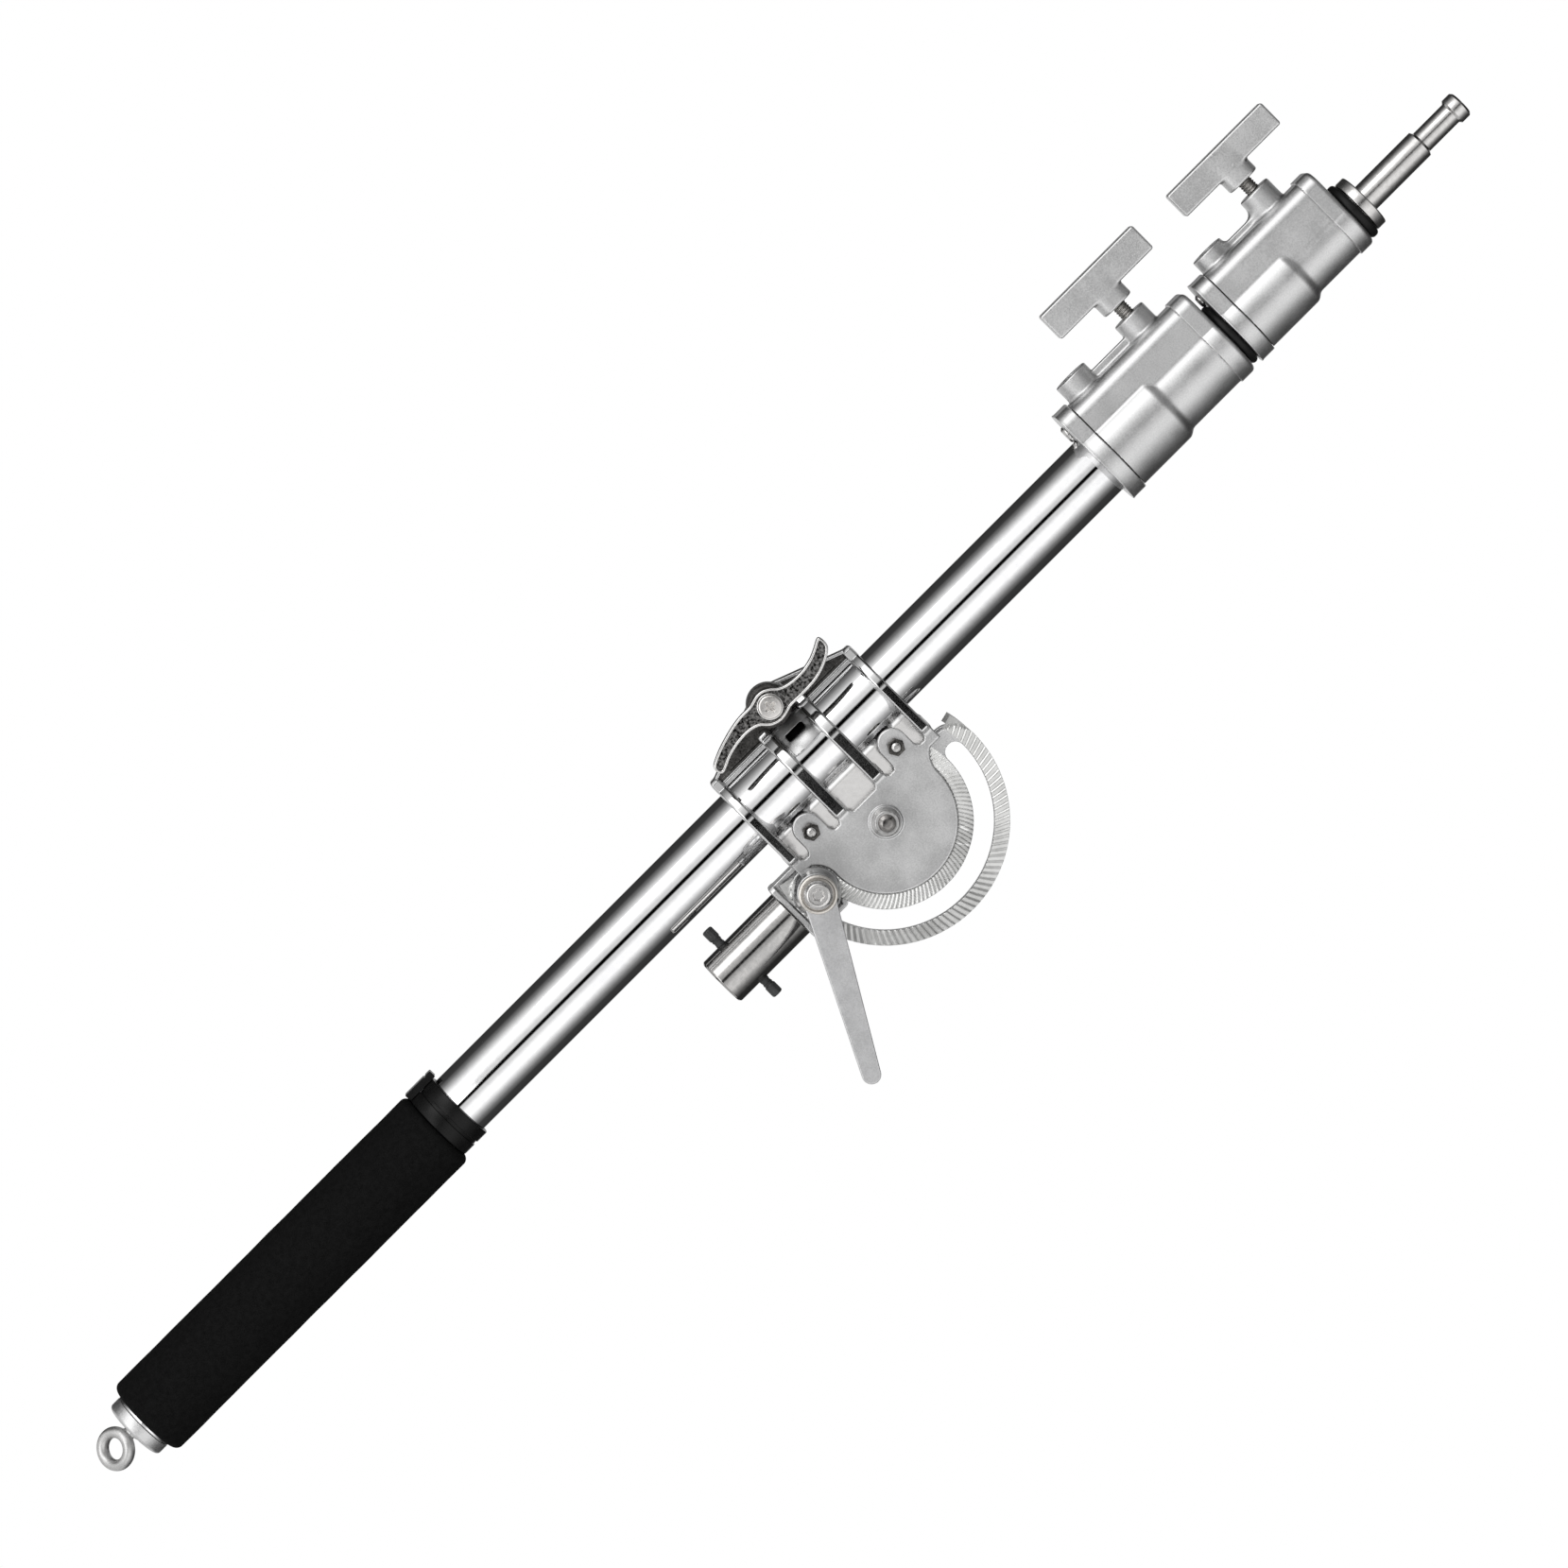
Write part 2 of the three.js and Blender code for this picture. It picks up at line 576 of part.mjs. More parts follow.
// One half of the cradle, on the +Y side, with the pivot at the origin
function casting() {
  const toothed = solid(slab(track(trackHalf), plateNear, plateFar));
  const web = rectangle(plateEdge - boomOffset, -cradleHalf, 0, cradleHalf);
  const discRadius = slotRadius - trackHalf + overrun;
  const chord = Math.acos((plateEdge - boomOffset) / discRadius);
  const disc = new THREE.Shape().absarc(0, 0, discRadius, -chord, chord, false);
  const field = joined(
    solid(slab(web, plateNear, raisedFar)),
    solid(slab(disc, plateNear, raisedFar, trackSteps / 2)));
  const clear = solid(slab(track(trackHalf), plateFar, raisedFar + overrun));
  const strips = joined(
    solid(toothedStrip(
      slotRadius - trackHalf + 2 * toothInset, slotRadius - slotHalf - toothInset, plateFar, toothFar)),
    solid(toothedStrip(
      slotRadius + slotHalf + toothInset, slotRadius + trackHalf - 2 * toothInset, plateFar, toothFar)));
  const ridgeTrack = solid(slab(track(trackHalf - toothInset), plateNear + overrun, raisedFar));
  const ring = solid(alongY(rod(pivotRing, raisedFar - overrun, raisedFar + pivotRingHeight)));
  let body = joined(toothed, cut(field, clear), strips.intersect(ridgeTrack), ring);

  const onBoom = (part) => part.translate([-boomOffset, 0, 0]);
  const outerPlace = cradleHalf - outerRib / 2;
  for (const [place, width] of [
    [-outerPlace, outerRib], [-innerRibPlace, innerRib], [innerRibPlace, innerRib], [outerPlace, outerRib]]) {
    const rib = prism(ribOutline(), place - width / 2, place + width / 2, 2 * arcSteps);
    body = body.add(onBoom(solid(rib)));
  }

  // Round corners at the foot of the ribs, and the two bolt tabs
  const foot = rectangle(plateEdge - pocketCorner, -cradleHalf, plateEdge + overrun, cradleHalf);
  let comb = solid(slab(foot, tabNear, tabFar));
  const outerEdge = cradleHalf - outerRib;
  const innerEdge = innerRibPlace - innerRib / 2;
  const innerFar = innerRibPlace + innerRib / 2;
  for (const [low, high, lowCorner, highCorner] of [
    [-outerEdge, -tabPlace - tabHalf, pocketCorner, tabCorner],
    [-tabPlace + tabHalf, -innerFar, tabCorner, pocketCorner],
    [-innerEdge, innerEdge, pocketCorner, pocketCorner],
    [innerFar, tabPlace - tabHalf, pocketCorner, tabCorner],
    [tabPlace + tabHalf, outerEdge, tabCorner, pocketCorner]]) {
    const pocket = slab(pocketOutline(low, high, lowCorner, highCorner), tabNear - overrun, tabFar + overrun);
    comb = comb.subtract(solid(pocket));
  }
  body = body.add(onBoom(comb));
  for (const place of [-tabPlace, tabPlace]) {
    const tab = new THREE.Shape();
    tab.moveTo(plateEdge + overrun, place + tabHalf);
    tab.lineTo(tabCentre, place + tabHalf);
    tab.absarc(tabCentre, place, tabHalf, Math.PI / 2, 1.5 * Math.PI, false);
    tab.lineTo(plateEdge + overrun, place - tabHalf);
    tab.closePath();
    const bore = solid(alongY(rod(shellBolt + seat, tabNear - overrun, tabFar + overrun, smallSides)));
    body = body.add(onBoom(solid(slab(tab, tabNear, tabFar))));
    body = body.subtract(onBoom(bore.translate([shellBoltPlace, 0, place])));
  }

  // Ear above the tube, sloping up from the ribs to the lug of the wing bolt
  const rise = lugHeight - ribRadius;
  const slope = Math.atan2(rise, cradleHalf) + Math.asin(lugRadius / Math.hypot(rise, cradleHalf));
  const ear = new THREE.Shape();
  ear.moveTo(0, -cradleHalf);
  ear.lineTo(-ribRadius, -cradleHalf);
  ear.lineTo(-lugHeight - lugRadius * Math.cos(slope), -lugRadius * Math.sin(slope));
  ear.absarc(-lugHeight, 0, lugRadius, Math.PI + slope, Math.PI - slope, true);
  ear.lineTo(-ribRadius, cradleHalf);
  ear.lineTo(0, cradleHalf);
  ear.closePath();
  const earBody = cut(
    solid(slab(ear, splitHalf, earFar, 2 * arcSteps)),
    solid(alongY(rod(wingBolt + seat, 0, earFar + overrun, smallSides))).translate([-lugHeight, 0, 0]));
  body = body.add(onBoom(earBody)).add(onBoom(saddle()));

  const pivotHole = solid(alongY(rod(pivotBolt + seat, 0, raisedFar + 2 * pivotRingHeight, smallSides)));
  const slot = solid(slab(track(slotHalf), plateNear - overrun, raisedFar + overrun));
  return cut(body, onBoom(linerSpace()), pivotHole, slot);
}

// Polished liner: half a sleeve round the tube, with a flat leg down behind the tabs
function liner() {
  const reach = cradleHalf - linerInset;
  const sleeve = solid(pipe(linerBore, linerRadius, -reach, reach));
  const leg = solid(prism(rectangle(0, legNear, plateEdge - seat, legFar), -reach, reach));
  const inside = solid(rod(linerBore, -cradleHalf, cradleHalf));
  const half = 2 * linerRadius;
  const otherSide = solid(prism(rectangle(-half, -half, half, splitHalf), -cradleHalf, cradleHalf));
  const between = solid(prism(rectangle(0, -half, half, legNear), -cradleHalf, cradleHalf));
  let body = cut(joined(sleeve, leg), inside, otherSide, between);
  for (const place of [-tabPlace, tabPlace]) {
    const bore = solid(alongY(rod(shellBolt + seat, 0, legFar + overrun, smallSides)));
    body = body.subtract(bore.translate([shellBoltPlace, 0, place]));
  }
  return body;
}

// Bolt along Y with a hexagon head at the far side (+Y) and its tip at the near side (-Y)
function bolt(radius, hex, hexHeight, headSeat, tip) {
  const shank = solid(alongY(rod(radius, -tip, headSeat + overrun, smallSides)));
  return joined(shank, solid(alongY(hexagon(hex, headSeat, headSeat + hexHeight))));
}

function nut(radius, hex, near, far) {
  const body = solid(alongY(hexagon(hex, near, far)));
  return cut(body, solid(alongY(rod(radius + seat, near - overrun, far + overrun, smallSides))));
}

// Domed pressure washer on the toothed track, rising from near to far in Y
function pressureWasher(height) {
  const low = toothFar + seat;
  return turned([
    [tiltBolt + seat, low], [pressRadius, low], [pressRadius, low + pressRim],
    [pressWaist, low + pressRim + (height - pressRim) * pressWaistShare],
    [pressTop, low + height], [tiltBolt + seat, low + height], [tiltBolt + seat, low],
  ], fineSides);
}

// Levels of the tilt clamp
const pressFar = toothFar + seat + pressHeight;
const leverNear = pressFar + seat;
const leverFar = leverNear + leverThickness;
const backPressFar = toothFar + seat + backPressHeight;

// Flat lever, from its hub at the origin along +X, narrowing to a round tip
function tiltLever() {
  const lean = Math.asin((leverRoot - leverTip) / leverLength);
  const shape = new THREE.Shape();
  const tipCentre = leverLength - leverTip;
  shape.moveTo(0, -leverRoot);
  shape.lineTo(tipCentre, -leverTip);
  shape.absarc(tipCentre, 0, leverTip, lean - Math.PI / 2, Math.PI / 2 - lean, false);
  shape.lineTo(0, leverRoot);
  shape.closePath();
  const blade = solid(slab(shape, leverNear, leverFar));
  const hub = solid(alongY(rod(leverHub, leverNear, leverFar)));
  const grip = solid(alongY(
    rod(tiltBolt + seat, leverNear - overrun, leverNear + leverGrip + seat, smallSides)));
  return cut(joined(blade, hub), grip);
}

// S-shaped wing: one arm is a strip along a curve that rises away from the hub's axis,
// and the other arm is the same strip turned half a turn.
function wingOutline(inset, start) {
  const end = wingReach - inset;
  const left = [];
  const right = [];
  for (let i = 0; i <= wingSteps; i += 1) {
    const share = start + ((end / wingReach - start) * i) / wingSteps;
    const x = wingReach * share;
    const middle = wingSweep * (wingRiseShare * share - wingFallShare * share ** 3);
    const half = wingHalf + (wingEndHalf - wingHalf) * share - inset;
    left.push(new THREE.Vector2(middle + half, x));
    right.unshift(new THREE.Vector2(middle - half, x));
  }
  return new THREE.Shape([...left, ...right]);
}

const wingNear = earFar + seat + spacerHeight + seat;
const wingFar = wingNear + wingHeight;

function wingHandle() {
  const armNear = wingFar - (wingHeight + wingArm) / 2;
  const armFar = armNear + wingArm;
  let body = solid(alongY(rod(wingHub, wingNear, wingFar)));
  for (const turn of [0, Math.PI]) {
    body = body.add(solid(slab(wingOutline(0, 0), armNear, armFar).rotateY(turn)));
  }
  const recessStart = (wingHub + wingRim / 2) / wingReach;
  for (const turn of [0, Math.PI]) {
    const recess = slab(wingOutline(wingRim, recessStart), armFar - wingPocket, armFar + overrun);
    body = body.subtract(solid(recess.rotateY(turn)));
  }
  const thread = solid(alongY(
    rod(wingBolt + seat, wingNear - overrun, wingNear + wingThread + seat, smallSides)));
  return body.subtract(thread);
}

// Stand head
const head = new THREE.Group();
arm.add(head);
addBody(head, 'stand_stud', standStud(), chrome);
addBody(head, 'yoke_bracket', yokeBracket(), castAluminium);

const ringFar = raisedFar + pivotRingHeight;
const washerFar = ringFar + seat + pivotWasherHeight;
const pivotNutFar = washerFar + seat + pivotHexHeight;
const washer = alongY(pipe(pivotBolt + seat, pivotWasher, ringFar + seat, washerFar, smallSides));
const atPivot = [0, 0, pivotHeight];
const pivot = bolt(pivotBolt, pivotHex, pivotHexHeight, washerFar + seat, pivotNutFar + pivotTip);
addBody(head, 'pivot_bolt', pivot, steel, atPivot);
addTo(head, 'pivot_washer_back', washer, steel, atPivot);
addBody(head, 'pivot_washer_front', mirrored(solid(washer)), steel, atPivot);
addBody(head, 'pivot_nut', nut(pivotBolt, pivotHex, -pivotNutFar, -washerFar - seat), steel, atPivot);

const atTilt = [0, 0, tiltHeight];
const tilt = bolt(tiltBolt, tiltHex, tiltHexHeight, backPressFar + seat, leverNear + leverGrip);
addBody(head, 'tilt_bolt', tilt, steel, atTilt);
addTo(head, 'pressure_washer_back', alongY(pressureWasher(backPressHeight)), castAluminium, atTilt);
const frontWasher = mirrored(solid(alongY(pressureWasher(pressHeight))));
addBody(head, 'pressure_washer_front', frontWasher, sprayedCasting, atTilt);

// Thumb screws of the socket, tip to head along X
function thumbScrew() {
  const start = socketRadius + seat;
  const neckEnd = studRadius + thumbNeck;
  const end = neckEnd + thumbHeadLength;
  return turned([
    [0, start], [thumbShank, start], [thumbShank, neckEnd], [thumbHead, neckEnd + seat],
    [thumbHead, end - seat], [thumbHead - seat, end], [0, end],
  ], smallSides);
}
for (const [name, turn, drop] of [
  ['socket_screw_a', -Math.PI / 2, boomThumbDrop], ['socket_screw_b', Math.PI / 2, farThumbDrop]]) {
  addTo(head, name, thumbScrew().rotateY(turn), plastic, [0, 0, -drop]);
}

// Tilt lever, its ring and its screw, hung in front of the cradle
const lever = new THREE.Group();
lever.position.set(...atTilt);
lever.rotation.y = THREE.MathUtils.degToRad(leverDrop);
arm.add(lever);
addBody(lever, 'tilt_lever', mirrored(tiltLever()), sprayedCasting);
const ringTop = leverFar + seat + leverRingHeight;
addTo(lever, 'lever_ring', alongY(rod(leverRing, -ringTop, -leverFar - seat)), brass);
const capLow = ringTop + seat;
const capTop = capLow + leverScrewHeight;
addTo(lever, 'lever_screw', alongY(turned([
  [0, -capTop], [leverScrew - leverScrewDome, -capTop], [leverScrew, -capTop + leverScrewDome],
  [leverScrew, -capLow], [0, -capLow],
])), steel);

// Cradle
const cradle = new THREE.Group();
cradle.position.set(...atPivot);
arm.add(cradle);
const backCasting = casting();
addBody(cradle, 'casting_back', backCasting, castAluminium);
addBody(cradle, 'casting_front', mirrored(backCasting), castAluminium);
const backLiner = liner();
const onBoomAxis = [-boomOffset, 0, 0];
addBody(cradle, 'liner_back', backLiner, chrome, onBoomAxis);
addBody(cradle, 'liner_front', mirrored(backLiner), chrome, onBoomAxis);
[-tabPlace, tabPlace].forEach((place, index) => {
  const at = [shellBoltPlace - boomOffset, 0, place];
  const nutFar = tabFar + seat + shellHexHeight;
  const shellBody = bolt(shellBolt, shellHex, shellHexHeight, tabFar + seat, nutFar + shellTip);
  addBody(cradle, `shell_bolt_${index + 1}`, shellBody, steel, at);
  addBody(cradle, `shell_nut_${index + 1}`, nut(shellBolt, shellHex, -nutFar, -tabFar - seat), steel, at);
});
const atWing = [-boomOffset - lugHeight, 0, 0];
const wingStud = bolt(wingBolt, wingHex, wingHexHeight, earFar + seat, wingNear + wingThread);
addBody(cradle, 'wing_bolt', wingStud, steel, atWing);
const spacer = alongY(pipe(wingBolt + seat, spacerRadius, -earFar - seat - spacerHeight, -earFar - seat));
addTo(cradle, 'wing_spacer', spacer, darkCasting, atWing);

// Wing handle and its screw
const wing = new THREE.Group();
wing.position.set(-boomOffset - lugHeight, 0, pivotHeight);
arm.add(wing);
addBody(wing, 'wing_handle', mirrored(wingHandle()), darkCasting);
const wingScrewTop = wingFar + seat + wingScrewHeight;
addTo(wing, 'wing_screw', alongY(turned([
  [0, -wingScrewTop], [wingScrew - seat, -wingScrewTop], [wingScrew, -wingScrewTop + seat],
  [wingScrew, -wingFar - seat], [0, -wingFar - seat],
], smallSides)), steel);

// Boom, with its axis on the group's Z axis and its handles towards -X
const boom = new THREE.Group();
boom.position.set(-boomOffset, 0, 0);
arm.add(boom);
addTo(boom, 'main_tube', pipe(mainBore, mainRadius, mainLow, mainHigh, tubeSides), chrome);
const capLowEnd = mainLow - seat - capHeight;
addTo(boom, 'end_cap', turned([
  [eyeShank + seat, capLowEnd], [mainRadius - seat, capLowEnd], [mainRadius, capLowEnd + seat],
  [mainRadius, mainLow - seat], [mainBore - seat, mainLow - seat], [mainBore - seat, mainLow + capPlug],
  [eyeShank + seat, mainLow + capPlug], [eyeShank + seat, capLowEnd],
]), castAluminium);

// Eye bolt: a round wire ring on a shank, with its nut inside the tube
function eyeBolt() {
  const ringTopPlace = capLowEnd - seat;
  const ringCentre = ringTopPlace - eyeCollarHeight - eyeRing - eyeWire / 2;
  const wire = new THREE.TorusGeometry(eyeRing, eyeWire, smallSides / 2, fineSides).rotateX(Math.PI / 2);
  const upright = solid(wire.rotateZ(THREE.MathUtils.degToRad(eyeTurn))).translate([0, 0, ringCentre]);
  const collar = solid(rod(eyeCollar, ringTopPlace - eyeCollarHeight, ringTopPlace, smallSides));
  const foot = ringTopPlace - eyeCollarHeight - eyeWire / 2;
  const shank = solid(rod(eyeShank, foot, mainLow + capPlug + eyeTail, smallSides));
  return joined(upright, collar, shank);
}
addBody(boom, 'eye_bolt', eyeBolt(), castAluminium);
const eyeNutLow = mainLow + capPlug + seat;
addTo(boom, 'eye_nut', geometryOf(cut(
  solid(hexagon(eyeHex, eyeNutLow, eyeNutLow + eyeHexHeight)),
  solid(rod(eyeShank + seat, mainLow, eyeNutLow + 2 * eyeHexHeight, smallSides)))), steel);

// Grip with rounded ends: a quarter circle at each end of the outer wall
function gripProfile(bore, radius, low, high, corner) {
  const points = [[bore, low]];
  const step = Math.PI / 2 / arcSteps;
  for (let i = 0; i <= arcSteps; i += 1) {
    const angle = step * i;
    points.push([radius - corner + corner * Math.sin(angle), low + corner - corner * Math.cos(angle)]);
  }
  for (let i = 0; i <= arcSteps; i += 1) {
    const angle = step * i;
    points.push([radius - corner + corner * Math.cos(angle), high - corner + corner * Math.sin(angle)]);
  }
  points.push([bore, high], [bore, low]);
  return points;
}
const tubeFit = mainRadius + seat;
const gripLow = mainLow + gripStart;
const gripHigh = gripLow + gripLength;
addTo(boom, 'foam_grip', turned(
  gripProfile(tubeFit, tubeFit + gripWall, gripLow, gripHigh, gripCorner)), foam);

// Cable clip: a band with a groove, and its square latch on the handle side
const clipLow = gripHigh + seat;
const clipHigh = clipLow + clipLength;
const clipMiddle = (clipLow + clipHigh) / 2;
const clipRadius = tubeFit + clipWall;
addTo(boom, 'cable_clip', turned([
  [tubeFit, clipLow], [clipRadius, clipLow], [clipRadius, clipMiddle - clipGroove],
  [clipRadius - clipGrooveDepth, clipMiddle - clipGroove],
  [clipRadius - clipGrooveDepth, clipMiddle + clipGroove], [clipRadius, clipMiddle + clipGroove],
  [clipRadius, clipHigh], [tubeFit, clipHigh], [tubeFit, clipLow],
]), plastic);
function clipLatch() {
  const top = clipRadius + seat + latchHeight;
  const block = solid(prism(
    roundedRectangle(-top, -latchHalf, 0, latchHalf, latchBevel), clipLow, clipLow + latchLength));
  return block.subtract(solid(rod(clipRadius + seat, clipLow - overrun, clipLow + latchLength + overrun)));
}
addBody(boom, 'clip_latch', clipLatch(), plastic);

// Cross-section of a collar's block: flat sides and a top with round corners, towards -X
function blockOutline(top, half) {
  return roundedRectangle(-top, -half, blockCorner, half, blockCorner);
}

// Collar with its base at z = 0: the hump holds the wider tube, the neck the sliding one
function collarBody(size, outerTube, innerTube) {
  const start = size.coverLength + seat;
  const round = (radius, level) => [
    [radius, level - rimRound], [radius - rimRound * roundShare, level - rimRound * roundShare],
    [radius - rimRound, level]];
  const shape = solid(turned([
    [0, start], [size.hump, start], [size.hump, size.humpLength - size.shoulder],
    [size.hump - (size.hump - size.neck) * roundShare, size.humpLength - size.shoulder * shoulderShare],
    [size.neck, size.humpLength], [size.neck, size.rimPlace], [size.rim, size.rimPlace + seat],
    ...round(size.rim, size.length), [0, size.length],
  ]));
  const block = solid(prism(blockOutline(size.top, size.half), start, size.rimPlace));
  const rimHalf = size.half + size.rim - size.neck;
  const rim = solid(prism(blockOutline(size.rimTop, rimHalf), size.rimPlace, size.length - rimRound));
  const rimEnd = solid(prism(
    blockOutline(size.rimTop - rimRound, rimHalf - rimRound), size.rimPlace, size.length));
  const setBoss = solid(alongX(rod(size.setBoss, -size.setBossTop, -outerTube)));
  const boss = solid(alongX(rod(size.boss, -size.bossTop, -innerTube)));
  const web = solid(prism(
    rectangle(-size.webTop, -webHalf, -outerTube, webHalf), size.setPlace, size.screwPlace));
  const setBore = alongX(rod(setScrew + seat, -size.setBossTop - overrun, 0, smallSides));
  const screwBore = alongX(rod(clampScrew + seat, -size.bossTop - overrun, 0, smallSides));
  const shoeBore = alongX(rod(shoeRadius + seat, -innerTube - 2 * seat - shoeHeight, 0, smallSides));
  return cut(
    joined(shape, block, rim, rimEnd, setBoss.translate([0, 0, size.setPlace]),
      boss.translate([0, 0, size.screwPlace]), web),
    solid(rod(outerTube + seat, 0, tubeEntry + seat)),
    solid(rod(innerTube + seat, 0, size.length + overrun)),
    solid(setBore).translate([0, 0, size.setPlace]),
    solid(screwBore).translate([0, 0, size.screwPlace]),
    solid(shoeBore).translate([0, 0, size.screwPlace]));
}

// Cover plate on the collar's lower face, held by one round-headed screw
function collarCover(size, outerTube, screwPlace) {
  const half = size.half + size.cover - size.hump;
  const plate = joined(
    solid(rod(size.cover, 0, size.coverLength)),
    solid(prism(blockOutline(size.coverTop, half), 0, size.coverLength)));
  return cut(
    plate,
    solid(rod(outerTube + seat, -overrun, size.coverLength + overrun)),
    solid(rod(coverShank + seat, -overrun, size.coverLength / 2, smallSides)).translate([-screwPlace, 0, 0]));
}

// T-handle: a round hub with a coned foot, and a bevelled bar along the boom
function tHandle(size) {
  const low = size.hubFloor;
  const high = size.barTop - handleBevel;
  const hub = solid(alongX(turned([
    [0, low], [handleHubFoot, low], [handleHub - handleHubEdge, low + handleHubEdge],
    [handleHub, low + handleHubCone], [handleHubTop, high], [0, high],
  ]).rotateX(Math.PI)));
  const barShape = rectangle(
    -size.barTop + handleBevel, -size.barHalf + handleBevel,
    -size.barFloor - handleBevel, size.barHalf - handleBevel);
  const settings = {
    depth: 2 * (handleHalfDepth - handleBevel), bevelSize: handleBevel, bevelThickness: handleBevel,
    bevelSegments: 1,
  };
  const bar = new THREE.ExtrudeGeometry(barShape, settings).rotateX(Math.PI / 2);
  bar.translate(0, handleHalfDepth - handleBevel, 0);
  const grip = alongX(rod(clampScrew + seat, -low - handleGrip - seat, 0, smallSides));
  return cut(joined(hub, solid(bar)), solid(grip));
}

function rubberRing(bore, radius, height) {
  return turned([
    [bore, 0], [radius - ringRound, 0], [radius, ringRound], [radius, height - ringRound],
    [radius - ringRound, height], [bore, height], [bore, 0],
  ], tubeSides);
}

// Bush in the lower end of a sliding tube; its flange runs in the wider tube's bore
function guideBush(flangeRadius, plugRadius, low) {
  const bore = plugRadius - bushWall;
  return turned([
    [bore, low - seat - bushFlange], [flangeRadius, low - seat - bushFlange], [flangeRadius, low - seat],
    [plugRadius, low - seat], [plugRadius, low + bushPlug], [bore, low + bushPlug],
    [bore, low - seat - bushFlange],
  ]);
}

// One collar with everything that it carries
function addCollar(number, size, outerTube, innerTube, start, coverRoot) {
  const at = [0, 0, start];
  const coverPlace = coverRoot + coverScrewStep + coverScrew;
  addBody(boom, `collar_${number}`, collarBody(size, outerTube, innerTube), castAluminium, at);
  addBody(boom, `collar_cover_${number}`, collarCover(size, outerTube, coverPlace), castAluminium, at);
  addTo(boom, `cover_screw_${number}`, turned([
    [0, -seat - coverScrewHeight], [coverScrewTop, -seat - coverScrewHeight],
    [coverScrew, -seat - coverScrewEdge], [coverScrew, -seat], [coverShank, -seat],
    [coverShank, size.coverLength / 2 - seat], [0, size.coverLength / 2 - seat],
  ], smallSides), steel, [-coverPlace, 0, start]);
  const setStart = outerTube + seat;
  const setAt = [0, 0, start + size.setPlace];
  addTo(boom, `set_screw_${number}`, alongX(rod(
    setScrew, -setStart - setScrewLength, -setStart, smallSides)), steel, setAt);
  const screwPlace = [0, 0, start + size.screwPlace];
  const shoeStart = innerTube + seat;
  addTo(boom, `brake_shoe_${number}`, alongX(rod(
    shoeRadius, -shoeStart - shoeHeight, -shoeStart, smallSides)), brass, screwPlace);
  addTo(boom, `clamp_screw_${number}`, alongX(rod(
    clampScrew, -size.hubFloor - handleGrip, -shoeStart - shoeHeight - seat, smallSides)), steel, screwPlace);
  addBody(boom, `t_handle_${number}`, tHandle(size), castAluminium, screwPlace);
}

addCollar(1, collars.first, mainRadius, middleRadius, collarStart, mainRadius);

// Middle tube
const middleBore = middleRadius - middleWall;
const ringLow = collarStart + collars.first.length + seat;
const secondStart = ringLow + firstRingHeight + seat;
const middleHigh = secondStart + tubeEntry;
const middleLow = mainLow + middleStop;
addTo(boom, 'middle_tube', pipe(middleBore, middleRadius, middleLow, middleHigh, tubeSides), chrome);
addTo(boom, 'guide_bush_1', guideBush(mainBore - seat, middleBore - seat, middleLow), plastic);
addTo(boom, 'rubber_ring_1', rubberRing(middleRadius + seat, firstRing, firstRingHeight), rubber,
  [0, 0, ringLow]);
addCollar(2, collars.second, middleRadius, innerRadius, secondStart, firstRing);

// Inner tube
const innerBore = innerRadius - innerWall;
const secondRingLow = secondStart + collars.second.length + seat;
const innerHigh = secondRingLow + secondRingHeight;
const innerLow = middleLow + innerStop;
addTo(boom, 'inner_tube', pipe(innerBore, innerRadius, innerLow, innerHigh, tubeSides), chrome);
addTo(boom, 'guide_bush_2', guideBush(middleBore - seat, innerBore - seat, innerLow), plastic);
addTo(boom, 'rubber_ring_2', rubberRing(innerRadius + seat, secondRing, secondRingHeight), rubber,
  [0, 0, secondRingLow]);

// Spigot base with its plug in the tube, and the spigot on its thread
const baseLow = innerHigh + seat;
const baseHigh = baseLow + spigotBaseHeight;
const threadLow = baseHigh - spigotThreadLength;
addTo(boom, 'spigot_base', turned([
  [0, baseLow - spigotPlug], [innerBore - seat, baseLow - spigotPlug], [innerBore - seat, baseLow],
  [spigotBase, baseLow], [spigotBase, baseHigh - seat], [spigotBase - seat, baseHigh],
  [spigotRadius + seat, baseHigh], [spigotRadius + seat, baseHigh - spigotSink],
  [spigotThread + seat, baseHigh - spigotSink], [spigotThread + seat, threadLow - seat],
  [0, threadLow - seat],
]), chrome);
const spigotLow = baseHigh - spigotSink + seat;
const neckLow = spigotLow + spigotLength;
const spigotHeadLow = neckLow + spigotNeckLength;
const spigotTop = spigotHeadLow + spigotHeadLength;
addTo(boom, 'spigot', turned([
  [0, threadLow], [spigotThread, threadLow], [spigotThread, spigotLow], [spigotRadius, spigotLow],
  [spigotRadius, neckLow - spigotChamfer], [spigotNeck, neckLow], [spigotNeck, spigotHeadLow],
  [spigotHead, spigotHeadLow + spigotChamfer], [spigotHead, spigotTop - spigotChamfer],
  [spigotHead - spigotChamfer, spigotTop], [0, spigotTop],
]), chrome);

export default arm;
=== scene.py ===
import json
import math
from functools import partial

import bpy
import numpy as np
from mathutils import Matrix, Vector
from mathutils.geometry import tessellate_polygon


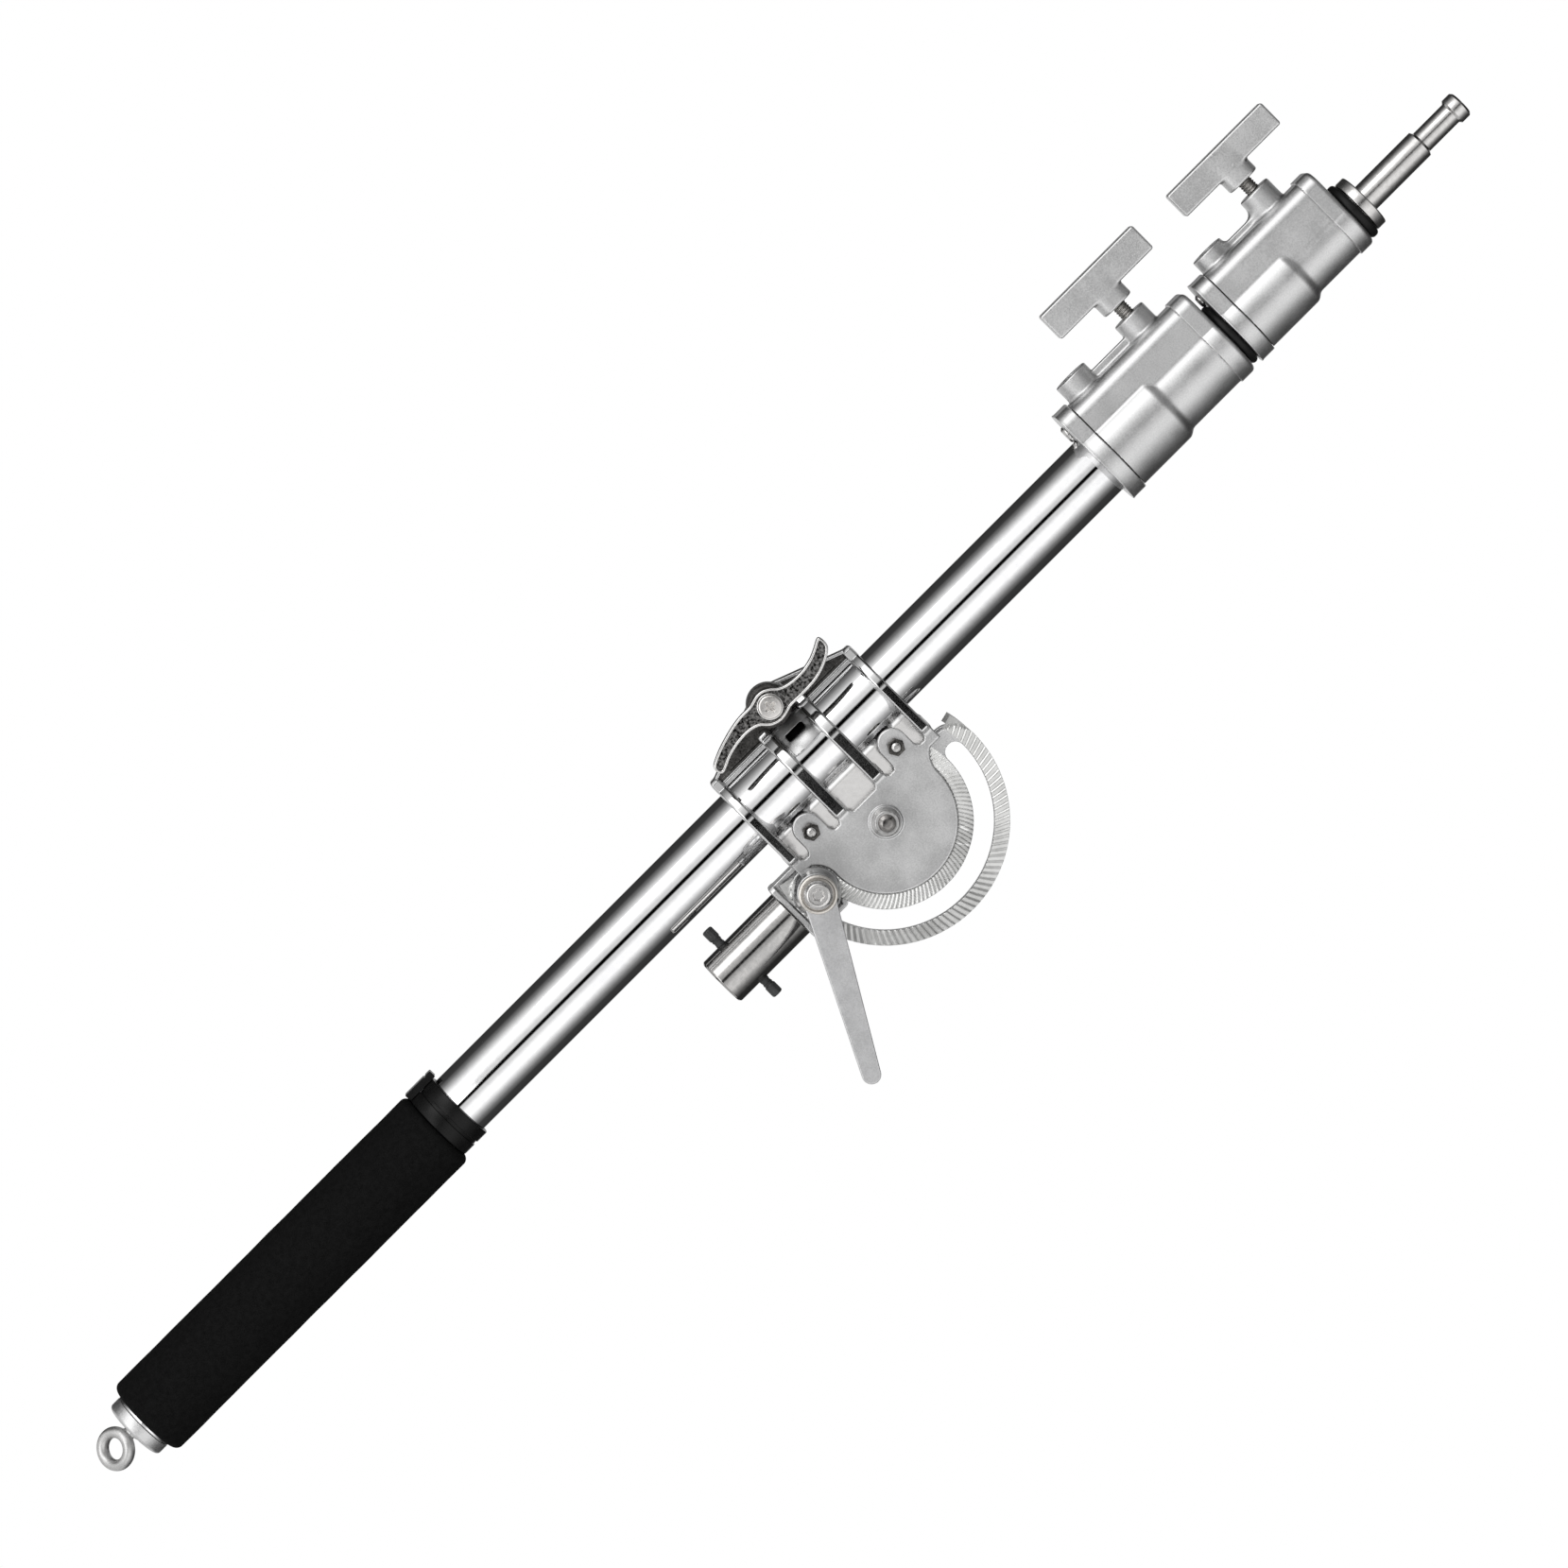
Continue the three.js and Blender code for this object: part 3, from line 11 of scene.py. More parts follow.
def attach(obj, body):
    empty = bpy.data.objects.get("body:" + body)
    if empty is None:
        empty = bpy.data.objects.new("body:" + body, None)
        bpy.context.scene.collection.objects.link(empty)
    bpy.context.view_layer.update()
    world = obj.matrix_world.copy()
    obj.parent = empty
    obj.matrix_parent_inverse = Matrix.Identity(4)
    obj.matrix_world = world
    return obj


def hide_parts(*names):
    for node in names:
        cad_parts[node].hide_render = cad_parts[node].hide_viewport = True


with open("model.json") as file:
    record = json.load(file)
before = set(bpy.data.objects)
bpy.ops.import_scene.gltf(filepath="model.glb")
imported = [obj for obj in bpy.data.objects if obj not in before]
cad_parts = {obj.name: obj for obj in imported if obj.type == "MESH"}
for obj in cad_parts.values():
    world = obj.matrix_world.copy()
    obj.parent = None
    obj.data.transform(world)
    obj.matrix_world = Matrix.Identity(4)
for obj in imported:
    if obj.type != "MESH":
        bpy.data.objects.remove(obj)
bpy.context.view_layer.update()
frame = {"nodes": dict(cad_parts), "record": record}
nodes = frame["nodes"]
print("frame:", len(nodes), "solids")

scene = bpy.context.scene
scene.view_settings.view_transform = "Standard"

# Camera, floor and light
cameraSet = {
    "target": (-0.04964, 0.0, 0.04425),  # point on the arm's middle plane in the middle of the picture
    "distance": 4.0,
    "width": 0.8060,        # metres that the picture takes in at the target
    "towardBoom": 4.5,      # degrees that the camera stands off towards the boom
    "towardTip": 1.0,       # degrees that it stands off towards the spigot
    "roll": 45.03,          # the boom runs up to the right
}


# The camera looks along a direction turned from Y by two angles, (sin side cos rise, cos side cos rise,
# -sin rise), and is rolled about it
def makeCamera(values):
    side = math.radians(values["towardBoom"])
    rise = math.radians(values["towardTip"])
    back = Vector((-math.sin(side) * math.cos(rise), -math.cos(side) * math.cos(rise), math.sin(rise)))
    lean = math.radians(values["roll"])
    up = Vector((-math.sin(lean), 0, math.cos(lean)))
    up = (up - up.dot(back) * back).normalized()
    right = up.cross(back)
    camera = bpy.data.objects.new("camera", bpy.data.cameras.new("camera"))
    scene.collection.objects.link(camera)
    place = Vector(values["target"]) + back * values["distance"]
    camera.matrix_world = Matrix.Translation(place) @ Matrix((right, up, back)).transposed().to_4x4()
    camera.data.sensor_width = 36
    camera.data.lens = 36 * values["distance"] / values["width"]
    camera.data.clip_end = 100
    scene.camera = camera


makeCamera(cameraSet)

studio = {
    "floorHeight": -1.9,    # under the lowest place that the boom reaches
    "floorRadius": 2.6,
    "floorSides": 96,
    "floorColour": (0.92, 0.92, 0.92, 1),
    "floorRoughness": 0.9,
    "floorGlow": 0.4,       # the paper is lit from under as well
    # brightness of the room by the angle from the camera round the boom's axis, in degrees: a narrow dark
    # gap, then a white soft box at each side, then the dark room
    "boxes": [(0, 0.0), (4.4, 0.0), (8.5, 0.72), (17, 0.80), (29, 1.22), (54, 1.22), (66, 0.80), (76, 0.48),
              (90, 0.20), (108, 0.045), (158, 0.03), (168, 0.9), (180, 0.9)],
    "tip": 0.3,             # share of the light left far towards the spigot
    "grip": 0.75,           # share of it left far towards the grip
    # place, width in metres and watts of each lamp
    "lamps": {"lampLow": ((-0.9, -1.9, -1.3), 1.4, 9), "lampSide": ((-1.9, -1.6, 0.2), 1.3, 8)},
}


# One step of arithmetic on outputs or plain numbers
def mathNode(tree, kind, first, second=None):
    node = tree.nodes.new("ShaderNodeMath")
    node.operation = kind
    for socket, value in zip(node.inputs, (first, second)):
        if value is None:
            continue
        if isinstance(value, (int, float)):
            socket.default_value = value
        else:
            tree.links.new(value, socket)
    return node.outputs[0]


# Smooth step from start to end while the value goes from low to high
def rangeNode(tree, value, low, high, start, end):
    node = tree.nodes.new("ShaderNodeMapRange")
    node.interpolation_type = "SMOOTHSTEP"
    for socket, number in zip(node.inputs[1:5], (low, high, start, end)):
        socket.default_value = number
    tree.links.new(value, node.inputs[0])
    return node.outputs[0]


# Room light by direction: a ramp of brightness over the angle round the boom, dimmed towards both ends
def makeRoom(values):
    world = bpy.data.worlds.new("studio")
    scene.world = world
    world.use_nodes = True
    tree = world.node_tree
    tree.nodes.clear()
    direction = tree.nodes.new("ShaderNodeTexCoord").outputs["Generated"]
    parts = tree.nodes.new("ShaderNodeSeparateXYZ")
    tree.links.new(direction, parts.inputs[0])
    across, away, above = parts.outputs
    turn = mathNode(tree, "ARCTAN2", mathNode(tree, "MULTIPLY", across, -1.0),
                    mathNode(tree, "MULTIPLY", away, -1.0))
    middle = math.radians(cameraSet["towardBoom"])
    fromCamera = mathNode(tree, "ABSOLUTE", mathNode(tree, "SUBTRACT", turn, middle))
    ramp = tree.nodes.new("ShaderNodeValToRGB")
    tree.links.new(mathNode(tree, "DIVIDE", fromCamera, math.pi), ramp.inputs[0])
    brightest = max(value for _, value in values["boxes"])
    stops = ramp.color_ramp.elements
    while len(stops) < len(values["boxes"]):
        stops.new(1.0)
    for stop, (angle, value) in zip(stops, values["boxes"]):
        stop.position = angle / 180
        stop.color = (value / brightest, value / brightest, value / brightest, 1)
    towardTip = rangeNode(tree, above, 0.25, 0.8, 1.0, values["tip"])
    towardGrip = rangeNode(tree, above, -0.5, -0.9, 1.0, values["grip"])
    ends = mathNode(tree, "MULTIPLY", mathNode(tree, "MULTIPLY", towardTip, towardGrip), brightest)
    dimmed = mathNode(tree, "MULTIPLY", ramp.outputs[0], ends)
    room = tree.nodes.new("ShaderNodeBackground")
    tree.links.new(dimmed, room.inputs["Strength"])
    paper = tree.nodes.new("ShaderNodeBackground")
    paper.inputs["Strength"].default_value = 1.0
    room.inputs["Color"].default_value = paper.inputs["Color"].default_value = (1, 1, 1, 1)
    choose = tree.nodes.new("ShaderNodeMixShader")
    tree.links.new(tree.nodes.new("ShaderNodeLightPath").outputs["Is Camera Ray"], choose.inputs[0])
    tree.links.new(room.outputs[0], choose.inputs[1])
    tree.links.new(paper.outputs[0], choose.inputs[2])
    end = tree.nodes.new("ShaderNodeOutputWorld")
    tree.links.new(choose.outputs[0], end.inputs["Surface"])


# Pale round floor, far under the arm
def makeFloor(values):
    angle = np.linspace(0, 2 * np.pi, values["floorSides"], endpoint=False)
    ring = np.stack([np.cos(angle), np.sin(angle), 0 * angle], 1) * values["floorRadius"]
    ring[:, 2] = values["floorHeight"]
    mesh = bpy.data.meshes.new("floor")
    mesh.from_pydata(ring.tolist(), [], [list(range(len(ring)))])
    floor = bpy.data.objects.new("floor", mesh)
    scene.collection.objects.link(floor)
    pale = bpy.data.materials.new("palePaper")
    pale.use_nodes = True
    shader = pale.node_tree.nodes["Principled BSDF"]
    shader.inputs["Base Color"].default_value = values["floorColour"]
    shader.inputs["Roughness"].default_value = values["floorRoughness"]
    shader.inputs["Emission Color"].default_value = (1, 1, 1, 1)
    shader.inputs["Emission Strength"].default_value = values["floorGlow"]
    mesh.materials.append(pale)


# Square lamps that face the stud
def makeLamps(values):
    for name, (place, size, power) in values["lamps"].items():
        lamp = bpy.data.lights.new(name, "AREA")
        lamp.size = size
        lamp.energy = power
        holder = bpy.data.objects.new(name, lamp)
        scene.collection.objects.link(holder)
        holder.location = place
        holder.rotation_mode = "QUATERNION"
        holder.rotation_quaternion = (-Vector(place)).to_track_quat("-Z", "Y")


makeRoom(studio)
makeFloor(studio)
makeLamps(studio)
print("camera, floor and light")


# Finishes
# New node group with its named inputs and outputs
def newGroup(name, inputs, outputs):
    group = bpy.data.node_groups.new(name, "ShaderNodeTree")
    for label, kind, value in inputs:
        socket = group.interface.new_socket(label, in_out="INPUT", socket_type=kind)
        socket.default_value = value
    for label, kind in outputs:
        group.interface.new_socket(label, in_out="OUTPUT", socket_type=kind)
    return group, group.nodes.new("NodeGroupInput"), group.nodes.new("NodeGroupOutput")


# Blend of two colours or two values: the first where the factor is 0, the second where it is 1
def blend(tree, factor, first, second, colour=False):
    node = tree.nodes.new("ShaderNodeMix")
    node.data_type = "RGBA" if colour else "FLOAT"
    place = 6 if colour else 2
    tree.links.new(factor, node.inputs[0])
    for socket, value in ((node.inputs[place], first), (node.inputs[place + 1], second)):
        if isinstance(value, tuple):
            socket.default_value = (*value, 1)
        else:
            tree.links.new(value, socket)
    return node.outputs[2 if colour else 0]


# Straight rise from 0 to 1 while the value goes from low to high
def riseNode(tree, value, low, high):
    node = tree.nodes.new("ShaderNodeMapRange")
    for socket, given in zip(node.inputs[:3], (value, low, high)):
        tree.links.new(given, socket)
    return node.outputs[0]


# Speckle: fine noise laid over broad noise, as a value from 0 to 1
def speckleGroup():
    group, start, end = newGroup(
        "speckle",
        [("Fine Scale", "NodeSocketFloat", 900.0), ("Broad Scale", "NodeSocketFloat", 60.0),
         ("Fine Share", "NodeSocketFloat", 0.6)],
        [("Value", "NodeSocketFloat")])
    place = group.nodes.new("ShaderNodeTexCoord").outputs["Object"]
    values = []
    for label, detail in [("Fine Scale", 2.0), ("Broad Scale", 3.0)]:
        noise = group.nodes.new("ShaderNodeTexNoise")
        noise.inputs["Detail"].default_value = detail
        group.links.new(place, noise.inputs["Vector"])
        group.links.new(start.outputs[label], noise.inputs["Scale"])
        values.append(noise.outputs["Fac"])
    mix = blend(group, start.outputs["Fine Share"], values[1], values[0])
    group.links.new(mix, end.inputs["Value"])
    return group


# Hairlines: noise drawn out along one axis, for brushed and turned metal
def hairlineGroup():
    group, start, end = newGroup(
        "hairline",
        [("Stretch", "NodeSocketVector", (900.0, 900.0, 20.0))],
        [("Value", "NodeSocketFloat")])
    place = group.nodes.new("ShaderNodeTexCoord").outputs["Object"]
    scaled = group.nodes.new("ShaderNodeVectorMath")
    scaled.operation = "MULTIPLY"
    group.links.new(place, scaled.inputs[0])
    group.links.new(start.outputs["Stretch"], scaled.inputs[1])
    noise = group.nodes.new("ShaderNodeTexNoise")
    noise.inputs["Scale"].default_value = 1.0
    noise.inputs["Detail"].default_value = 2.0
    group.links.new(scaled.outputs[0], noise.inputs["Vector"])
    group.links.new(noise.outputs["Fac"], end.inputs["Value"])
    return group


# Pointiness ramp: 1 where the surface bulges out sharply and 0 in hollows and on flats, for worn edges; with
# From above To it turns round to 1 in hollows, for painted crease shade
def edgeAndCreaseGroup():
    group, start, end = newGroup(
        "wornEdgeAndCreaseShade",
        [("From", "NodeSocketFloat", 0.52), ("To", "NodeSocketFloat", 0.6)],
        [("Value", "NodeSocketFloat")])
    sharpness = group.nodes.new("ShaderNodeNewGeometry").outputs["Pointiness"]
    rise = riseNode(group, sharpness, start.outputs["From"], start.outputs["To"])
    group.links.new(rise, end.inputs["Value"])
    return group


# Zone: 1 on one side of a plane and 0 on the other, softly; the place is (x, |y|, z) as both halves match
def zoneGroup():
    group, start, end = newGroup(
        "zone",
        [("Along", "NodeSocketVector", (0.0, 1.0, 0.0)), ("From", "NodeSocketFloat", 0.0),
         ("To", "NodeSocketFloat", 0.001)],
        [("Value", "NodeSocketFloat")])
    split = group.nodes.new("ShaderNodeSeparateXYZ")
    group.links.new(group.nodes.new("ShaderNodeTexCoord").outputs["Object"], split.inputs[0])
    joined = group.nodes.new("ShaderNodeCombineXYZ")
    group.links.new(split.outputs[0], joined.inputs[0])
    group.links.new(mathNode(group, "ABSOLUTE", split.outputs[1]), joined.inputs[1])
    group.links.new(split.outputs[2], joined.inputs[2])
    reach = group.nodes.new("ShaderNodeVectorMath")
    reach.operation = "DOT_PRODUCT"
    group.links.new(joined.outputs[0], reach.inputs[0])
    group.links.new(start.outputs["Along"], reach.inputs[1])
    rise = riseNode(group, reach.outputs["Value"], start.outputs["From"], start.outputs["To"])
    group.links.new(rise, end.inputs["Value"])
    return group


groups = {"speckle": speckleGroup(), "hairline": hairlineGroup(), "edge": edgeAndCreaseGroup(), "zone": zoneGroup()}


# A group's node with its inputs set from a dictionary of their labels
def placed(tree, group, values):
    node = tree.nodes.new("ShaderNodeGroup")
    node.node_tree = groups[group]
    for label, value in values.items():
        node.inputs[label].default_value = value
    return node.outputs["Value"]


# Mask of a layer: 1 where any of its lists of zones is met in full
def layerMask(tree, where):
    whole = None
    for zones in where:
        part = None
        for along, low, high in zones:
            value = placed(tree, "zone", {"Along": along, "From": low, "To": high})
            part = value if part is None else mathNode(tree, "MINIMUM", part, value)
        whole = part if whole is None else mathNode(tree, "MAXIMUM", whole, part)
    return whole


# speckle values between which colour and roughness change, the bulge at which worn edges begin, and the
# hollowness at which the painted crease shade begins
wear = {"low": 0.3, "high": 0.7, "edge": (0.52, 0.6), "creaseShade": (0.49, 0.42)}


# Metal or plastic from a dark and a light shade mixed by speckle, then worn edges, painted shade darkening
# creases and hollows, and layers by zones
def finish(name, values):
    material = bpy.data.materials.new(name)
    material.use_nodes = True
    tree = material.node_tree
    shader = tree.nodes["Principled BSDF"]
    shader.inputs["Metallic"].default_value = values.get("metallic", 1.0)
    shader.inputs["Specular IOR Level"].default_value = values.get("specular", 0.5)
    fine = placed(tree, "speckle", {
        "Fine Scale": values.get("fine", 900.0), "Broad Scale": values.get("broad", 120.0),
        "Fine Share": values.get("fineShare", 0.6)})
    share = rangeNode(tree, fine, wear["low"], wear["high"], 0.0, 1.0)
    colour = blend(tree, share, values["dark"], values["light"], True)
    # worn edges lighten the bulges; the crease colour is painted shade that darkens hollows and fillets
    for kind in ("edge", "creaseShade"):
        if kind in values:
            mask = placed(tree, "edge", {"From": wear[kind][0], "To": wear[kind][1]})
            colour = blend(tree, mask, colour, values[kind], True)
    rough = rangeNode(tree, fine, wear["low"], wear["high"], *values["roughness"])
    height = fine
    if "hairline" in values:
        height = placed(tree, "hairline", {"Stretch": values["hairline"]})
    for layer in values.get("layers", []):
        mask = layerMask(tree, layer["where"])
        shade = blend(tree, share, layer["dark"], layer["light"], True)
        colour = blend(tree, mask, colour, shade, True)
        layerRough = rangeNode(tree, fine, wear["low"], wear["high"], *layer["roughness"])
        rough = blend(tree, mask, rough, layerRough)
        if "relief" in layer:
            height = blend(tree, mask, height, mathNode(tree, "MULTIPLY", fine, layer["relief"]))
    tree.links.new(colour, shader.inputs["Base Color"])
    tree.links.new(rough, shader.inputs["Roughness"])
    bump = tree.nodes.new("ShaderNodeBump")
    bump.inputs["Strength"].default_value = values["bump"]
    bump.inputs["Distance"].default_value = values.get("depth", 0.0001)
    tree.links.new(height, bump.inputs["Height"])
    tree.links.new(bump.outputs[0], shader.inputs["Normal"])
    return material


finishes = {
    "mirrorChrome": {"dark": (0.80, 0.80, 0.81), "light": (0.88, 0.88, 0.88), "roughness": (0.035, 0.07),
                     "fine": 400.0, "broad": 25.0, "hairline": (1400.0, 1400.0, 12.0), "bump": 0.03},
    "studChrome": {"dark": (0.54, 0.53, 0.52), "light": (0.68, 0.67, 0.66), "roughness": (0.20, 0.25),
                   "fine": 500.0, "broad": 40.0, "hairline": (1600.0, 1600.0, 30.0), "bump": 0.02},
    "darkChrome": {"dark": (0.38, 0.375, 0.37), "light": (0.50, 0.49, 0.48), "roughness": (0.11, 0.16),
                   "fine": 500.0, "broad": 40.0, "hairline": (1600.0, 1600.0, 30.0), "bump": 0.003},
    # satin castings: worn edges lighter, and painted shade darkening their creases and hollows
    "satinCasting": {"dark": (0.58, 0.58, 0.58), "light": (0.74, 0.74, 0.74), "roughness": (0.35, 0.46),
                     "fine": 1300.0, "broad": 70.0, "edge": (0.84, 0.84, 0.84), "creaseShade": (0.34, 0.34, 0.34),
                     "bump": 0.14},
    "eyeCasting": {"dark": (0.54, 0.54, 0.535), "light": (0.70, 0.695, 0.69), "roughness": (0.36, 0.48),
                   "fine": 1300.0, "broad": 90.0, "bump": 0.12},
    "domeCasting": {"dark": (0.42, 0.42, 0.42), "light": (0.56, 0.56, 0.56), "roughness": (0.17, 0.25),
                    "fine": 1300.0, "broad": 90.0, "bump": 0.08},
    "plateSteel": {"dark": (0.46, 0.455, 0.45), "light": (0.66, 0.655, 0.65), "roughness": (0.26, 0.36),
                   "fine": 1000.0, "bump": 0.1},
    "sprayedCasting": {"dark": (0.56, 0.56, 0.565), "light": (0.70, 0.70, 0.705), "roughness": (0.36, 0.48),
                       "fine": 1500.0, "broad": 90.0, "edge": (0.8, 0.8, 0.8), "bump": 0.16},
    "darkCasting": {"dark": (0.05, 0.048, 0.045), "light": (0.16, 0.155, 0.15), "roughness": (0.4, 0.7),
                    "fine": 1100.0, "broad": 300.0, "bump": 0.6, "depth": 0.0003},
    "plainSteel": {"dark": (0.30, 0.29, 0.28), "light": (0.44, 0.43, 0.42), "roughness": (0.2, 0.34),
                   "bump": 0.12},
    "brightSteel": {"dark": (0.60, 0.59, 0.58), "light": (0.72, 0.71, 0.70), "roughness": (0.22, 0.30),
                    "bump": 0.04},
    "nutSteel": {"dark": (0.05, 0.048, 0.045), "light": (0.13, 0.125, 0.12), "roughness": (0.2, 0.35),
                 "bump": 0.1},
    "darkSteel": {"dark": (0.20, 0.19, 0.185), "light": (0.32, 0.31, 0.30), "roughness": (0.14, 0.26),
                  "bump": 0.12},
    "threadSteel": {"dark": (0.22, 0.21, 0.20), "light": (0.40, 0.39, 0.37), "roughness": (0.25, 0.4),
                    "bump": 0.12},
    "screwSteel": {"dark": (0.70, 0.68, 0.66), "light": (0.84, 0.82, 0.80), "roughness": (0.26, 0.36),
                   "broad": 220.0, "bump": 0.15},
    "turnedBrass": {"dark": (0.60, 0.57, 0.53), "light": (0.74, 0.71, 0.67), "roughness": (0.3, 0.4),
                    "bump": 0.04},
    "blackFoam": {"dark": (0.0035, 0.0035, 0.0035), "light": (0.010, 0.010, 0.010), "roughness": (0.85, 0.97),
                  "specular": 0.05, "metallic": 0.0, "fine": 1900.0, "broad": 350.0, "bump": 0.5,
                  "depth": 0.0003},
    "blackPlastic": {"dark": (0.004, 0.004, 0.004), "light": (0.009, 0.009, 0.009), "roughness": (0.24, 0.34),
                     "specular": 0.16, "metallic": 0.0, "fine": 1200.0, "broad": 200.0, "bump": 0.15},
    "blackRubber": {"dark": (0.005, 0.005, 0.005), "light": (0.010, 0.010, 0.010), "roughness": (0.4, 0.55),
                    "specular": 0.25, "metallic": 0.0, "broad": 200.0, "bump": 0.1},
    "greyPlastic": {"dark": (0.018, 0.0185, 0.019), "light": (0.045, 0.046, 0.047), "roughness": (0.35, 0.5),
                    "metallic": 0.0, "broad": 200.0, "bump": 0.2},
    "toothCasting": {"dark": (0.52, 0.52, 0.51), "light": (0.72, 0.72, 0.71), "roughness": (0.30, 0.40),
                     "fine": 500.0, "broad": 60.0, "fineShare": 0.3, "edge": (0.95, 0.95, 0.94),
                     "bump": 0.02},
    # satin plates; then polished ribs, a satin saddle, its rougher top and the dark recess in the ear
    "cradleCasting": {
        "dark": (0.52, 0.52, 0.52), "light": (0.80, 0.80, 0.80), "roughness": (0.33, 0.44),
        "fine": 1300.0, "broad": 38.0, "fineShare": 0.35, "bump": 0.13, "layers": [
            {"where": [[((0, 1, 0), 0.0236, 0.0240)],
                       [((-1, 0, 0), 0.055, 0.057), ((0, 1, 0), 0.0096, 0.0100)]],
             "dark": (0.66, 0.66, 0.66), "light": (0.78, 0.78, 0.78), "roughness": (0.07, 0.15),
             "relief": 0.04},
            {"where": [[((-1, 0, 0), 0.0545, 0.0550), ((0, 1, 0), 0.0096, 0.0100),
                        ((0, 0, 1), 0.0579, 0.0583), ((0, 0, -1), -0.0775, -0.0771),
                        ((0, -1, 0), -0.0242, -0.0241)]],
             "dark": (0.34, 0.34, 0.34), "light": (0.52, 0.52, 0.52), "roughness": (0.24, 0.32),
             "relief": 0.3},
            {"where": [[((-1, 0, 0), 0.0672, 0.0676), ((0, 1, 0), 0.0076, 0.0080),
                        ((0, 0, 1), 0.0579, 0.0583), ((0, 0, -1), -0.0775, -0.0771),
                        ((0, -1, 0), -0.0202, -0.0200)]],
             "dark": (0.50, 0.50, 0.50), "light": (0.74, 0.74, 0.74), "roughness": (0.50, 0.62)},
            {"where": [[((-1, 0, 0), 0.0722, 0.0726), ((0, 1, 0), 0.0060, 0.0056)]],
             "dark": (0.012, 0.012, 0.011), "light": (0.16, 0.155, 0.15), "roughness": (0.35, 0.6)}]},
    # dark rough pockets, then polished rims and hub
    "wingCasting": {
        "dark": (0.0, 0.0, 0.0), "light": (0.25, 0.245, 0.24), "roughness": (0.25, 0.45), "fineShare": 1.0,
        "fine": 750.0, "broad": 500.0, "bump": 1.0, "depth": 0.0004, "layers": [
            {"where": [[((0, 1, 0), 0.0321, 0.0324)]],
             "dark": (0.74, 0.73, 0.72), "light": (0.84, 0.83, 0.82),
             "roughness": (0.14, 0.2), "relief": 0.02}]},
    # mirror sleeve, then softer flat legs and a near-black patch of painted shade where the liner shows
    # through the saddle's slot
    "linerSteel": {
        "dark": (0.80, 0.80, 0.81), "light": (0.88, 0.88, 0.88), "roughness": (0.04, 0.08),
        "fine": 400.0, "broad": 25.0, "bump": 0.03, "layers": [
            {"where": [[((1, 0, 0), -0.0335, -0.0300)]], "dark": (0.76, 0.75, 0.74),
             "light": (0.84, 0.83, 0.82), "roughness": (0.16, 0.2), "relief": 0.02},
            # painted shade: the liner goes near-black inside the saddle's slot, standing in for the slot's
            # shadow
            {"where": [[((-1, 0, 0), 0.0632, 0.0634), ((1, 0, 0), -0.0688, -0.0686),
                        ((0, 0, 1), 0.0610, 0.0612), ((0, 0, -1), -0.0744, -0.0742)]],
             "dark": (0.004, 0.004, 0.004), "light": (0.012, 0.012, 0.012), "roughness": (0.5, 0.7)}]},
}
made = {name: finish(name, values) for name, values in finishes.items()}

nodeFinish = {
    "chrome": "mirrorChrome", "cast_aluminium": "satinCasting", "sprayed_casting": "sprayedCasting",
    "dark_casting": "darkCasting", "steel": "plainSteel", "brass": "turnedBrass", "foam": "blackFoam",
    "plastic": "blackPlastic", "rubber": "blackRubber",
}
slotOf = {part["node"]: part["material_slot"] for part in frame["record"]["subparts"]}
for name, node in nodes.items():
    node.data.materials.clear()
    node.data.materials.append(made[nodeFinish[slotOf[name]]])
print("finishes:", len(made))

# Shapes
# Joins parts [points, triangles] into one, with each part's faces turned outward by its signed volume
def gathered(*parts):
    places, faces, start = [], [], 0
    for points, triangles in parts:
        points, triangles = welded(points, triangles)
        corner = points[triangles]
        volume = np.einsum("ij,ij->", corner[:, 0], np.cross(corner[:, 1], corner[:, 2]))
        faces.append((triangles if volume > 0 else triangles[:, ::-1]) + start)
        places.append(points)
        start += len(points)
    return np.concatenate(places), np.concatenate(faces)


# One point for all that lie at the same place to 0.1 micron, and no triangle with two equal corners
def welded(points, triangles):
    keys, first, other = np.unique(np.round(points, 4), axis=0, return_index=True, return_inverse=True)
    triangles = other.ravel()[triangles]
    whole = ((triangles[:, 0] != triangles[:, 1]) & (triangles[:, 1] != triangles[:, 2])
             & (triangles[:, 2] != triangles[:, 0]))
    return points[first], triangles[whole]


# Rings of points round an axis: row i is a ring at level[i], point j stands off by radius[i, j] at the
# angle 2 pi j / columns. Neighbouring rings are joined by two triangles per square.
def turned(radius, level, axis="Z", at=(0, 0, 0), loop=False, sides=96):
    radius = np.asarray(radius, float)
    if radius.ndim == 1:
        radius = np.repeat(radius[:, None], sides, 1)
    level = np.asarray(level, float)
    level = np.broadcast_to(level[:, None] if level.ndim == 1 else level, radius.shape)
    rings, count = radius.shape
    angle = np.linspace(0, 2 * np.pi, count, endpoint=False)
    flat, up = radius * np.cos(angle), radius * np.sin(angle)
    order = {"X": (level, flat, up), "Y": (flat, level, up), "Z": (flat, up, level)}[axis]
    points = np.stack(order, -1).reshape(-1, 3) + np.array(at, float)
    return points, gridFaces(rings, count, loop, True)


# Two triangles for each square of a grid of points, closed round on either side if asked
def gridFaces(rows, columns, rowLoop, columnLoop):
    i, j = np.meshgrid(np.arange(rows if rowLoop else rows - 1),
                       np.arange(columns if columnLoop else columns - 1), indexing="ij")
    i, j = i.ravel(), j.ravel()
    a = i * columns + j
    b = ((i + 1) % rows) * columns + j
    c = ((i + 1) % rows) * columns + (j + 1) % columns
    d = i * columns + (j + 1) % columns
    return np.concatenate([np.stack([a, b, c], 1), np.stack([a, c, d], 1)])


